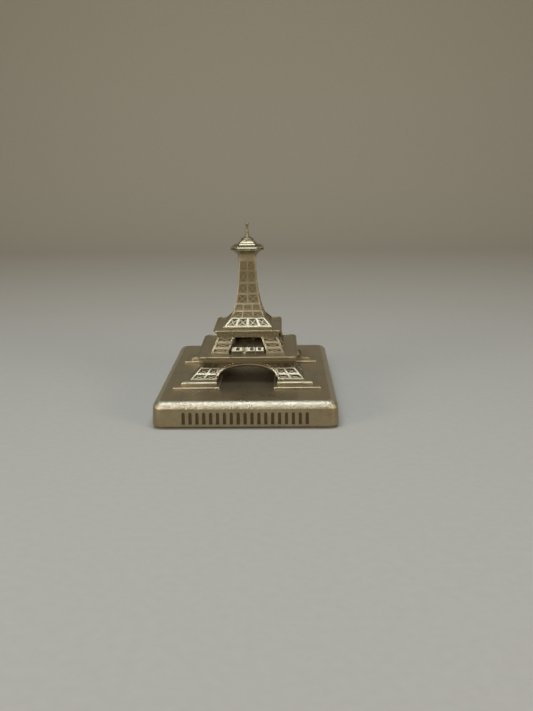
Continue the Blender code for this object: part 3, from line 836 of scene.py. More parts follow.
@dataclass
class Workshop:
    """What every sub-assembly shares: the finish of each slot and the tool for repeated rows."""

    finishes: dict[Slot, bpy.types.Material]
    rows: RowTool = field(default_factory=RowTool)

    def finish(self, casting: Casting, name: str, node: str, slot: Slot = Slot.TOWER) -> None:
        """Turn a casting into a piece of the model.

        Args:
            casting: The casting.
            name: Name of the piece.
            node: CAD node that it stands for.
            slot: The record's slot of its finish.
        """
        mesh = bpy.data.meshes.new(name)
        casting.bm.to_mesh(mesh)
        casting.bm.free()
        mesh.materials.append(self.finishes[slot])
        mesh.shade_smooth()
        mesh.set_sharp_from_angle(angle=SMOOTH_ANGLE)
        piece = new_object(name, mesh)
        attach(piece, ROOT)
        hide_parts(node)
        LOG.info("%s: %d faces, stands for %s", name, len(mesh.polygons), node)


@dataclass
class Assembly:
    """One sub-assembly of the model."""

    shop: Workshop

    def build(self) -> None:
        """Make its pieces."""
        raise NotImplementedError


@dataclass
class Plinth(Assembly):
    """Hollow plinth with rounded edges and a frieze of blind arches sunk into its front."""

    corner_radius: float = 4.0 * MM
    top_radius: float = 2.8 * MM
    bottom_radius: float = 1.2 * MM
    flare: float = 0.5 * MM
    wall: float = 3.4 * MM
    ledge: float = 1.4 * MM
    roof: float = 3.0 * MM
    cavity_corner: float = 1.5 * MM
    rebate_corner: float = 2.0 * MM
    frieze_width: float = 52.0 * MM
    frieze_low: float = 2.1 * MM
    frieze_height: float = 5.2 * MM
    niche_width: float = 1.5 * MM
    niche_depth: float = 0.55 * MM
    niche_count: int = 19
    bottom_steps: int = 5
    top_steps: int = 9

    def outline(self) -> list[Ring]:
        """Sections from the cavity's roof, round the rim, up the outside to the top.

        Returns:
            Rounded rectangles that a skin is stretched over.
        """
        low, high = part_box("plinth")
        ledge_z = top_of("base_plate") + 0.3 * MM
        hollow = self.wall + self.flare
        rebate = hollow - self.ledge
        levels = [(hollow, self.cavity_corner, high.z - self.roof), (hollow, self.cavity_corner, ledge_z),
                  (rebate, self.rebate_corner, ledge_z), (rebate, self.rebate_corner, low.z)]
        curve = [(self.bottom_radius * (1.0 - math.sin(a)), low.z + self.bottom_radius * (1.0 - math.cos(a)))
                 for a in right_angle(self.bottom_steps)]
        curve += [(self.top_radius * (1.0 - math.cos(a)), high.z - self.top_radius * (1.0 - math.sin(a)))
                  for a in right_angle(self.top_steps)]
        for inset, z in curve:
            lean = self.flare * (z - low.z) / (high.z - low.z)
            levels.append((lean + inset, self.corner_radius - inset * 0.6, z))
        return [rounded_ring(high.x - inset, high.y - inset, radius, z) for inset, radius, z in levels]

    def niche(self) -> Mesh:
        """Shape one blind arch: an upright slot with a round head.

        Returns:
            Its cutter, as deep as the frieze.
        """
        half = self.niche_width / 2
        spring = self.frieze_height - half
        outline = [(-half, 0.0), (half, 0.0)]
        outline += [(half * math.cos(math.pi * i / 8), spring + half * math.sin(math.pi * i / 8))
                    for i in range(9)]
        return unit_mesh([Vector((x, -1.5 * MM, z)) for x, z in outline],
                         [Vector((x * 0.86, self.niche_depth, z * 0.97 + 0.08 * MM)) for x, z in outline])

    def build(self) -> None:
        """Make the plinth and cut its frieze."""
        casting = Casting(*self.outline())
        # Rubbed wear and painted highlight on the rounded top edge.
        for band in casting.bands[-self.top_steps:]:
            for face in band:
                face[casting.wear] = 1.0
        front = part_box("plinth")[0].y + self.flare / 2
        reach = (self.frieze_width - self.niche_width) / 2
        line = [Vector((x, front, self.frieze_low)) for x in (-reach, reach)]
        top = self.frieze_low + self.frieze_height + 0.3 * MM
        floor_y = front + self.niche_depth * 0.5

        def in_niche(centre: Vector) -> bool:
            """Whether a face belongs to the sunken part of the frieze."""
            return (abs(centre.x) < reach + self.niche_width and floor_y < centre.y < front + 1.5 * MM
                    and self.frieze_low - 0.2 * MM < centre.z < top)

        # The niches take patina and painted shade.
        casting.cut(self.shop.rows.make([line], self.niche(), self.niche_count), in_niche)
        self.shop.finish(casting, "plinth_cast", "plinth", Slot.PLINTH)


@dataclass
class Underside(Assembly):
    """Closing plate and felt pad under the plinth."""

    plate_corner: float = 1.7 * MM
    pad_corner: float = 1.5 * MM
    pad_rounding: float = 0.25 * MM

    def build(self) -> None:
        """Make the plate and the felt pad."""
        low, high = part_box("base_plate")
        plate = Casting(*(rounded_ring(high.x, high.y, self.plate_corner, z) for z in (low.z, high.z)))
        plate.soften(0.15 * MM)
        self.shop.finish(plate, "closing_plate", "base_plate", Slot.PLATE)

        low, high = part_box("felt_pad")
        soft = self.pad_rounding
        levels = [(soft, 0.0), (0.0, soft), (0.0, high.z - soft), (soft, high.z)]
        pad = Casting(*(rounded_ring(high.x - inset, high.y - inset, self.pad_corner, z)
                        for inset, z in levels))
        self.shop.finish(pad, "felt_sheet", "felt_pad", Slot.FELT)


@dataclass
class Fasteners(Assembly):
    """Zinc-plated screws with slotted heads, in the places of their nodes."""

    slot_width: float = 0.6 * MM
    slot_depth: float = 0.5 * MM
    pitch: float = 0.5 * MM

    def screw(self, node: str, head_height: float, shank: float) -> None:
        """Make one screw driven upwards.

        Args:
            node: CAD node of the screw.
            head_height: Height of its head.
            shank: Radius of its shank.
        """
        low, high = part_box(node)
        x, y = (low.x + high.x) / 2, (low.y + high.y) / 2
        head = (high.x - low.x) / 2
        dome = min(0.4 * MM, head_height / 2)
        profile = [(head - dome, low.z), (head - dome * 0.3, low.z + dome * 0.3), (head, low.z + dome),
                   (head, low.z + head_height), (shank, low.z + head_height)]
        z = low.z + head_height + self.pitch
        while z < high.z - self.pitch:
            profile += [(shank, z - self.pitch * 0.45), (shank * 0.84, z)]
            z += self.pitch
        profile.append((shank * 0.6, high.z))
        casting = Casting(*(round_ring(radius, z, x, y) for radius, z in profile))
        half = self.slot_width / 2
        reach = head * 1.2
        blade = unit_mesh(*(rect_ring(x - reach, x + reach, y - half, y + half, low.z + rise)
                            for rise in (-MM, self.slot_depth)))
        top = low.z + self.slot_depth * 0.9
        casting.cut(blade, lambda centre: top < centre.z < top + 0.1 * MM)
        self.shop.finish(casting, node + "_turned", node, Slot.SCREWS)

    def build(self) -> None:
        """Make all screws."""
        for corner in Corner:
            self.screw("plate_screw_" + corner.tag, 0.5 * MM, 0.95 * MM)
            self.screw("leg_screw_" + corner.tag, 1.6 * MM, 1.3 * MM)
            self.screw("mid_screw_" + corner.tag, 1.1 * MM, 0.9 * MM)
        self.screw("shaft_screw", 1.3 * MM, 1.2 * MM)


@dataclass
class LowerStage(Assembly):
    """Four footings, four leaning legs with lattice panels, and four arches between them.

    Foot and head are the inner and outer half widths of the legs at their ends.
    """

    pad_top: float = 0.9 * MM
    pad_edge: float = 0.25 * MM
    block_inset: float = 3.3 * MM
    block_inner_inset: float = 1.4 * MM
    block_top: float = 1.6 * MM
    moulding_inset: float = 1.7 * MM
    foot: Pair = (13.4 * MM, 24.9 * MM)
    head: Pair = (12.0 * MM, 18.9 * MM)
    row_shares: tuple[float, ...] = (0.0, 0.33, 0.69, 1.0)
    divider: Pair = (0.495, 0.62)
    lattice: Lattice = Lattice(strip=0.3 * MM, rim=0.36 * MM, pocket=0.5 * MM, bar=0.3 * MM)
    arch_span: float = 12.6 * MM
    arch_spring: float = 3.6 * MM
    arch_rise: float = 4.15 * MM
    band: float = 0.75 * MM
    band_proud: float = 0.16 * MM
    panel_back: float = 0.06 * MM
    arch_thickness: float = 1.6 * MM
    overlap: float = 0.35 * MM
    arch_cells: int = 22
    bead_count: int = 27
    bead_radius: float = 0.46 * MM

    def __post_init__(self) -> None:
        """Read the stage's levels from the frame."""
        self.base = top_of("plinth")
        self.foot_z = top_of("footing_front_left")
        self.head_z = foot_of("deck_1_girder")

    def halves(self, z: float) -> list[float]:
        """Inner and outer half width of the legs at height z."""
        rise = self.head_z - self.foot_z
        return [foot + (head - foot) * (z - self.foot_z) / rise for foot, head in zip(self.foot, self.head)]

    def footing(self, corner: Corner) -> None:
        """Make one footing: pad, block and sloping moulding.

        Args:
            corner: Where it stands.
        """
        node = "footing_" + corner.tag
        low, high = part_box(node)
        inner, outer = sorted((abs(low.x), abs(high.x)))
        block_inner = inner + self.block_inner_inset
        block_outer = outer - self.block_inset
        pad_z = self.base + self.pad_top
        levels = [(inner, outer, self.base), (inner, outer, pad_z - 0.2 * MM),
                  (inner + self.pad_edge, outer - self.pad_edge, pad_z), (block_inner, block_outer, pad_z)]
        moulding_z = self.base + self.block_top
        for angle in right_angle(5):
            inset = self.moulding_inset * (1.0 - math.cos(angle))
            levels.append((block_inner + inset * 0.06, block_outer - inset,
                           moulding_z + (high.z - moulding_z) * math.sin(angle)))
        casting = Casting(*(corner_ring(*level, corner) for level in levels))
        casting.soften(0.1 * MM)
        self.shop.finish(casting, "footing_cast_" + corner.tag, node)

    @staticmethod
    def divider_for(face: Face, corner: Corner, shares: Pair) -> Pair:
        """Divider shares from the left of a face, given from the tower's outer corner.

        Args:
            face: A face of a leg.
            corner: The leg's corner.
            shares: Shares at the row's low and high edge, from the outer corner.

        Returns:
            The shares from the left, or halves on a face that looks into the tower.
        """
        outward = Vector((*corner.value, 0.0))
        if face.normal.dot(outward) < 0.0:
            return (0.5, 0.5)
        if UP.cross(face.normal).dot(outward) < 0.0:
            return shares
        return (1.0 - shares[0], 1.0 - shares[1])

    def leg(self, corner: Corner) -> None:
        """Make one lower leg with lattice panels on its four faces.

        Args:
            corner: Where it stands.
        """
        casting = Casting(*(corner_ring(*self.halves(z), z, corner)
                            for z in row_levels(self.foot_z, self.head_z, self.row_shares)))
        low, high = self.divider
        for faces, *borders in zip(casting.bands[::2], self.row_shares, self.row_shares[1:]):
            shares = tuple(low + (high - low) * border for border in borders)
            for face in faces:
                self.lattice.carve(casting, face, [self.divider_for(face, corner, shares)])
        casting.soften(0.09 * MM)
        self.shop.finish(casting, "leg_cast_" + corner.tag, "lower_leg_" + corner.tag)

    def arch_angles(self, head_x: float, head_z: float) -> list[float]:
        """Angles of the arch's sections, with one through the corner between leg and girder.

        Args:
            head_x: Half width at the panel's top.
            head_z: Height of the panel's top above the springing.

        Returns:
            Angles from 0 to pi.
        """
        corner = math.atan2(head_z * (self.arch_span + self.band), head_x * (self.arch_rise + self.band))
        step = math.pi / self.arch_cells
        angles = {math.pi * i / self.arch_cells for i in range(self.arch_cells + 1)}
        extra = {corner, math.pi - corner}
        return sorted({a for a in angles if all(abs(a - b) > step / 3 for b in extra)} | extra)

    def bead(self) -> list[Ring]:
        """Sections of one bead of the arch, a low ball."""
        angles = [math.pi * (step / 6 - 0.5) for step in range(7)]
        return [round_ring(max(self.bead_radius * math.cos(a), 0.02 * MM), self.bead_radius * math.sin(a),
                           count=10) for a in angles]

    def arch(self, side: Side) -> None:
        """Make one arch: a raised band round the opening and sunken cells in the spandrels.

        Args:
            side: Side of the tower.
        """
        spring = self.base + self.arch_spring
        drift, lean = ((foot - head) / (self.head_z - self.foot_z)
                       for foot, head in zip(self.foot, self.head))
        normal = Vector((0.0, -1.0, lean)) / math.hypot(1.0, lean)
        top = self.head_z + 0.05 * MM
        foot_x, head_x = (self.halves(z)[0] + self.overlap for z in (spring, top))

        def on_face(x: float, z: float, proud: float) -> Vector:
            """Point of the leaning face, moved out along its normal."""
            return Vector((x, -self.halves(z)[1], z)) + normal * proud

        def on_curve(angle: float, out: float) -> Pair:
            """Point of the arch's curve, moved out from the opening."""
            return (-(self.arch_span + out) * math.cos(angle),
                    spring + (self.arch_rise + out) * math.sin(angle))

        sections = []
        for angle in self.arch_angles(head_x, top - spring):
            inner, outer = on_curve(angle, 0.0), on_curve(angle, self.band)
            rise = outer[1] - spring
            run = abs(outer[0]) + drift * rise
            reach = max(1.01, min(foot_x / max(run, 1e-6), (top - spring) / max(rise, 1e-6)))
            edge = (outer[0] * reach, spring + rise * reach)
            sections.append([on_face(*point, proud) for point, proud in (
                (inner, -self.arch_thickness), (edge, -self.arch_thickness), (edge, -self.panel_back),
                (outer, -self.panel_back), (outer, self.band_proud), (inner, self.band_proud))])
        casting = Casting(*sections)
        spandrels = [faces[2] for faces in casting.bands
                     if min(edge.calc_length() for edge in faces[2].edges) > 0.55 * MM
                     and faces[2].calc_area() > 0.9 * MM * MM]
        # A little patina and painted shade in the spandrel cells.
        casting.sink(spandrels, 0.16 * MM, 0.3 * MM, draft=0.12 * MM, patina=0.3)
        casting.soften(0.07 * MM)
        cells = self.arch_cells * 2
        line = [on_face(*on_curve(math.pi * step / cells, self.band * 1.25), 0.0)
                for step in range(cells + 1)]
        casting.add_mesh(self.shop.rows.make([line], unit_mesh(*self.bead()), self.bead_count))
        casting.bm.transform(side.turn)
        self.shop.finish(casting, "arch_cast_" + side.tag, "arch_" + side.tag)

    def build(self) -> None:
        """Make the whole stage."""
        for corner in Corner:
            self.footing(corner)
            self.leg(corner)
        for side in Side:
            self.arch(side)


def cut_square(casting: Casting, half: float, low: float, high: float) -> None:
    """Cut an upright square void through the middle of a casting.

    Args:
        casting: The casting.
        half: Half width of the void.
        low: Its underside.
        high: Its top.
    """
    # The void's walls take patina and painted shade.
    casting.cut(unit_mesh(square_ring(half, low - MM), square_ring(half, high + MM)),
                lambda centre: max(abs(centre.x), abs(centre.y)) < half * 1.01)


@dataclass
class Deck(Assembly):
    """One deck: a girder with a moulded fascia, and a plate with a rim on top."""

    level: int
    corner_radius: float
    void: float
    rim_width: float = 0.7 * MM
    rim_height: float = 0.14 * MM
    girder_patina_and_shade: float = 0.6

    def girder(self, profile: Rows) -> Casting:
        """Girder frame from its outside profile, with a square void through it.

        Args:
            profile: (half width, height) from the bottom up.

        Returns:
            The casting.
        """
        casting = Casting(*(square_ring(*row) for row in profile))
        casting.soften(0.09 * MM)
        cut_square(casting, self.void, profile[0][1], profile[-1][1])
        # Patina and painted shade over the whole girder.
        casting.spread(casting.patina, self.girder_patina_and_shade)
        return casting

    def finish(self, girder: Casting) -> None:
        """Finish the girder, and add the plate: round plan corners, a rolled edge and a low rim.

        Args:
            girder: The deck's girder.
        """
        self.shop.finish(girder, f"girder_cast_{self.level}", f"deck_{self.level}_girder")
        node = f"deck_{self.level}_plate"
        low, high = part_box(node)
        rim_z = high.z + self.rim_height
        levels = stepped((0.0, low.z), (0.1, 0.0), (0.0, 0.08))
        levels += stepped((0.0, high.z), (0.0, -0.1), (0.04, 0.0))
        levels += [(0.14 * MM, high.z + self.rim_height * 0.8), (0.24 * MM, rim_z),
                   (self.rim_width - 0.1 * MM, rim_z), (self.rim_width, high.z)]
        casting = Casting(*(
            rounded_ring(high.x - inset, high.x - inset, self.corner_radius - inset * 0.8, z, 7)
            for inset, z in levels))
        self.shop.finish(casting, f"deck_plate_{self.level}", node)


@dataclass
class FirstDeck(Deck):
    """The wide lower deck, with consoles between its two fascias."""

    level: int = 1
    corner_radius: float = 4.0 * MM
    void: float = 4.8 * MM
    console_count: int = 23
    console_width: float = 0.5 * MM
    console_patina_and_shade: float = 0.15
    lower_half: float = 19.6 * MM
    step_height: float = 1.3 * MM
    screw_axis: float = 11.4 * MM
    recess_radius: float = 2.1 * MM
    recess_depth: float = 1.5 * MM

    def console(self, reach: float, height: float) -> Mesh:
        """One curved console under the fascia.

        Args:
            reach: How far it stands out.
            height: Its height.

        Returns:
            Its mesh, with the wall at y = 0 and its top at z = 0.
        """
        outline = [(0.0, -height), (0.0, 0.0), (-reach, 0.0), (-reach, -0.15 * height)]
        outline += [(-reach * (1.0 - math.sin(a)), -height * (0.15 + 0.85 * (1.0 - math.cos(a))))
                    for a in right_angle(4)[1:-1]]
        half = self.console_width / 2
        return unit_mesh(*([Vector((x, y, z)) for y, z in outline] for x in (-half, half)))

    def build(self) -> None:
        """Make the girder with its consoles and screw recesses, and the plate."""
        low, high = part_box("deck_1_girder")
        half = high.x
        step = low.z + self.step_height
        profile = stepped((self.lower_half, low.z), (-0.25, 0.0), (0.0, 0.2)) + [(self.lower_half, step)]
        profile += stepped((half, step), (-0.35, 0.0), (-0.2, 0.25))
        profile += stepped((half, high.z), (-0.2, -0.3), (0.0, -0.15)) + [(half, foot_of("deck_1_plate"))]
        casting = self.girder(profile)
        span = self.lower_half - self.console_width
        wall = -self.lower_half + 0.05 * MM
        runs = [[side.turn @ Vector((x, wall, step)) for x in (-span, span)] for side in Side]
        console = self.console(half - self.lower_half - 0.45 * MM, self.step_height * 0.75)
        # The consoles take a little patina and painted shade.
        casting.add_mesh(self.shop.rows.make(runs, console, self.console_count), self.console_patina_and_shade)
        floor = low.z + self.recess_depth
        # The screw recesses' floors take patina and painted shade.
        for corner in Corner:
            x, y = (self.screw_axis * sign for sign in corner.value)
            casting.cut(unit_mesh(*(round_ring(self.recess_radius, z, x, y) for z in (low.z - MM, floor))),
                        lambda centre: abs(centre.z - floor) < 0.01 * MM)
        self.finish(casting)


@dataclass
class SecondDeck(Deck):
    """The smaller upper deck on its lattice ring beam."""

    level: int = 2
    corner_radius: float = 2.6 * MM
    void: float = 4.0 * MM
    ring_void: float = 4.8 * MM
    lattice_cells: int = 16

    def ring_beam(self) -> None:
        """Make the ring beam: a band of small crossed panels round the heads of the middle legs."""
        low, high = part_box("mid_ring_beam")
        top = foot_of("deck_2_girder")
        casting = Casting(square_ring(high.x, low.z - 0.3 * MM), square_ring(high.x, top))
        for face in casting.bands[0]:
            cells = casting.split_columns(face, even_shares(self.lattice_cells))
            # Patina and painted shade in the cells and round their crosses.
            casting.sink(cells, 0.2 * MM, 0.3 * MM, draft=0.08 * MM, patina=0.5)
            casting.cross(cells, 0.26 * MM, 0.2 * MM, patina=0.6)
        casting.soften(0.08 * MM)
        cut_square(casting, self.ring_void, low.z, top)
        self.shop.finish(casting, "ring_beam_cast", "mid_ring_beam")

    def build(self) -> None:
        """Make the ring beam, the girder and the plate."""
        self.ring_beam()
        low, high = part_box("deck_2_girder")
        profile = stepped((high.x, low.z), (-0.6, 0.0), (-0.1, 0.35))
        profile += stepped((high.x, high.z), (-0.1, -0.1), (0.0, 0.0)) + [(high.x, foot_of("deck_2_plate"))]
        self.finish(self.girder(profile))


@dataclass
class Pavilions(Assembly):
    """Four low pavilions on the first deck, each of three bays with round windows."""

    wall_height: float = 1.3 * MM
    batter: float = 1.4 * MM
    shoulder: float = 0.6 * MM
    bays: tuple[Pair, ...] = ((-7.1, -2.3), (-0.8, 3.3), (3.5, 7.1))
    windows: tuple[float, ...] = (-4.3, 1.9, 5.3)
    window_radius: float = 0.88 * MM
    window_depth: float = 0.8 * MM

    def window(self, middle: Vector, rise: float) -> Mesh:
        """Cutter of one round window, square to the sloping front.

        Args:
            middle: Middle of the window.
            rise: Height of the sloping front.

        Returns:
            The cutter.
        """
        tilt = Matrix.Rotation(math.atan2(rise, self.batter), 4, "X")
        cutter = unit_mesh(*([tilt @ point for point in round_ring(self.window_radius, z, count=16)]
                             for z in (-self.window_depth, self.window_depth * 3)))
        cutter.transform(Matrix.Translation(middle))
        return cutter

    def pavilion(self, side: Side) -> None:
        """Make one pavilion: three bays, their windows, and the body behind them.

        Args:
            side: Side of the tower.
        """
        low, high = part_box("pavilion_front")
        deck = top_of("deck_1_plate")
        wall = deck + self.wall_height
        middle_y = low.y + self.batter / 2
        middle_z = (wall + high.z) / 2
        casting = Casting()
        for x0, x1 in ((left * MM, right * MM) for left, right in self.bays):
            lean0 = self.shoulder if x0 <= low.x else 0.1 * MM
            lean1 = self.shoulder if x1 >= high.x else 0.1 * MM
            casting.loft(rect_ring(x0, x1, low.y, high.y, deck), rect_ring(x0, x1, low.y, high.y, wall),
                         rect_ring(x0 + lean0, x1 - lean1, low.y + self.batter, high.y, high.z))
        casting.soften(0.1 * MM)
        for x in self.windows:
            casting.cut(self.window(Vector((x * MM, middle_y, middle_z)), high.z - deck - self.wall_height))
        # Patina and painted shade on the faces inside the windows.
        for face in casting.bm.faces:
            centre = face.calc_center_median()
            behind = ((centre.y - middle_y) - (centre.z - middle_z)) / math.sqrt(2.0)
            if 0.12 * MM < behind < self.window_depth * 1.2:
                face[casting.patina] = 1.0
        casting.loft(
            rect_ring(low.x + 0.4 * MM, high.x - 0.4 * MM, low.y + 1.1 * MM, high.y, deck),
            rect_ring(low.x + 0.7 * MM, high.x - 0.7 * MM, low.y + self.batter + 0.5 * MM, high.y,
                      high.z - 0.25 * MM))
        casting.bm.transform(side.turn)
        self.shop.finish(casting, "pavilion_cast_" + side.tag, "pavilion_" + side.tag)

    def build(self) -> None:
        """Make the four pavilions."""
        for side in Side:
            self.pavilion(side)


@dataclass
class MiddleStage(Assembly):
    """Four leaning legs between the decks, one column of crossed panels on each face.

    Foot and head are the inner and outer half widths of the legs at their ends.
    """

    foot: Pair = (8.6 * MM, 16.2 * MM)
    head: Pair = (5.8 * MM, 13.4 * MM)
    shoe: float = 0.35 * MM
    shoe_height: float = 0.45 * MM
    row_shares: tuple[float, ...] = (0.0, 0.3, 0.64, 1.0)
    lattice: Lattice = Lattice(strip=0.55 * MM, rim=0.36 * MM, pocket=0.45 * MM, bar=0.32 * MM)

    def leg(self, corner: Corner) -> None:
        """Make one middle leg on its low shoe.

        Args:
            corner: Where it stands.
        """
        deck = top_of("deck_1_plate")
        low = deck + self.shoe_height
        high = foot_of("mid_ring_beam")
        casting = Casting(*(corner_ring(self.foot[0] - self.shoe, self.foot[1] + self.shoe, z, corner)
                            for z in (deck, low)))
        rings = []
        for z in row_levels(low, high, self.row_shares):
            share = (z - low) / (high - low)
            halves = (foot + (head - foot) * share for foot, head in zip(self.foot, self.head))
            rings.append(corner_ring(*halves, z, corner))
        for faces in casting.loft(*rings)[::2]:
            for face in faces:
                self.lattice.carve(casting, face)
        casting.soften(0.08 * MM)
        self.shop.finish(casting, "mid_leg_cast_" + corner.tag, "mid_leg_" + corner.tag)

    def build(self) -> None:
        """Make the four legs."""
        for corner in Corner:
            self.leg(corner)


@dataclass
class Shaft(Assembly):
    """Flared base and tapering shaft, whose half width falls off exponentially with height."""

    step_half: float = 11.0 * MM
    step_height: float = 1.0 * MM
    skirt_half: float = 10.6 * MM
    skirt: Lattice = Lattice(strip=0.35 * MM, rim=0.42 * MM, pocket=0.42 * MM, bar=0.45 * MM)
    skirt_columns: int = 4
    neck_half: float = 7.5 * MM
    waist_half: float = 3.6 * MM
    decay: float = 2.6
    row_shares: tuple[float, ...] = (0.0, 0.115, 0.24, 0.415, 0.61, 0.83, 1.0)
    columns: tuple[int, ...] = (3, 3, 2, 2, 2, 2)
    depths: tuple[float, ...] = (0.34, 0.3, 0.24, 0.2, 0.18, 0.16)
    # Patina and painted shade of each row, less towards the top.
    row_patina_and_shade: tuple[float, ...] = (0.95, 0.95, 0.9, 0.8, 0.7, 0.6)

    def base(self) -> None:
        """Make the flared base: a step and a skirt with crossed panels on each side."""
        deck = top_of("deck_2_plate")
        step = deck + self.step_height
        profile = [(self.step_half, deck), *stepped((self.step_half, step), (0.0, -0.15), (-0.15, 0.0)),
                   (self.skirt_half, step), (self.neck_half, foot_of("shaft"))]
        casting = Casting(*(square_ring(*row) for row in profile))
        for face in casting.bands[-1]:
            self.skirt.carve(casting, face, even_shares(self.skirt_columns))
        casting.soften(0.08 * MM)
        self.shop.finish(casting, "shaft_base_cast", "shaft_base")

    def plain_shaft(self, low: float, high: float) -> Casting:
        """Sweep the shaft, with one ring of edges at every cross bar.

        Args:
            low: Height of its foot.
            high: Height of its head.

        Returns:
            The closed casting.
        """
        heights = row_levels(low, high, self.row_shares)
        casting = Casting()
        casting.add_mesh(FlareTool().run(
            [UP * z for z in heights], [(i, i + 1) for i in range(len(heights) - 1)],
            {"Low": low, "High": high, "Foot Half": self.neck_half, "Waist Half": self.waist_half,
             "Decay": self.decay, "Finish": self.shop.finishes[Slot.TOWER]}))
        bmesh.ops.remove_doubles(casting.bm, verts=casting.bm.verts, dist=0.001 * MM)
        bmesh.ops.recalc_face_normals(casting.bm, faces=casting.bm.faces)
        casting.bm.normal_update()
        return casting

    def shaft(self) -> None:
        """Make the shaft: the swept form, with rows of crossed panels that get shallower upwards."""
        low, high = foot_of("shaft"), foot_of("corbel")
        casting = self.plain_shaft(low, high)
        sides = [face for face in casting.bm.faces if len(face.verts) == 4 and abs(face.normal.z) < 0.9]
        for face in sides:
            heights = [vert.co.z for vert in face.verts]
            if max(heights) - min(heights) < 2 * LATTICE_BAR:
                continue
            share = (face.calc_center_median().z - low) / (high - low)
            row = max(i for i, edge in enumerate(self.row_shares[:-1]) if edge < share)
            depth = self.depths[row] * MM
            lattice = Lattice(strip=0.28 * MM, rim=0.3 * MM, pocket=depth, bar=0.34 * MM,
                              cross_depth=depth * 0.8, draft=depth * 0.8, cross_draft=depth * 0.6,
                              patina=self.row_patina_and_shade[row])
            lattice.carve(casting, face, even_shares(self.columns[row]))
        casting.soften(0.08 * MM)
        self.shop.finish(casting, "shaft_cast", "shaft")

    def build(self) -> None:
        """Make base and shaft."""
        self.base()
        self.shaft()


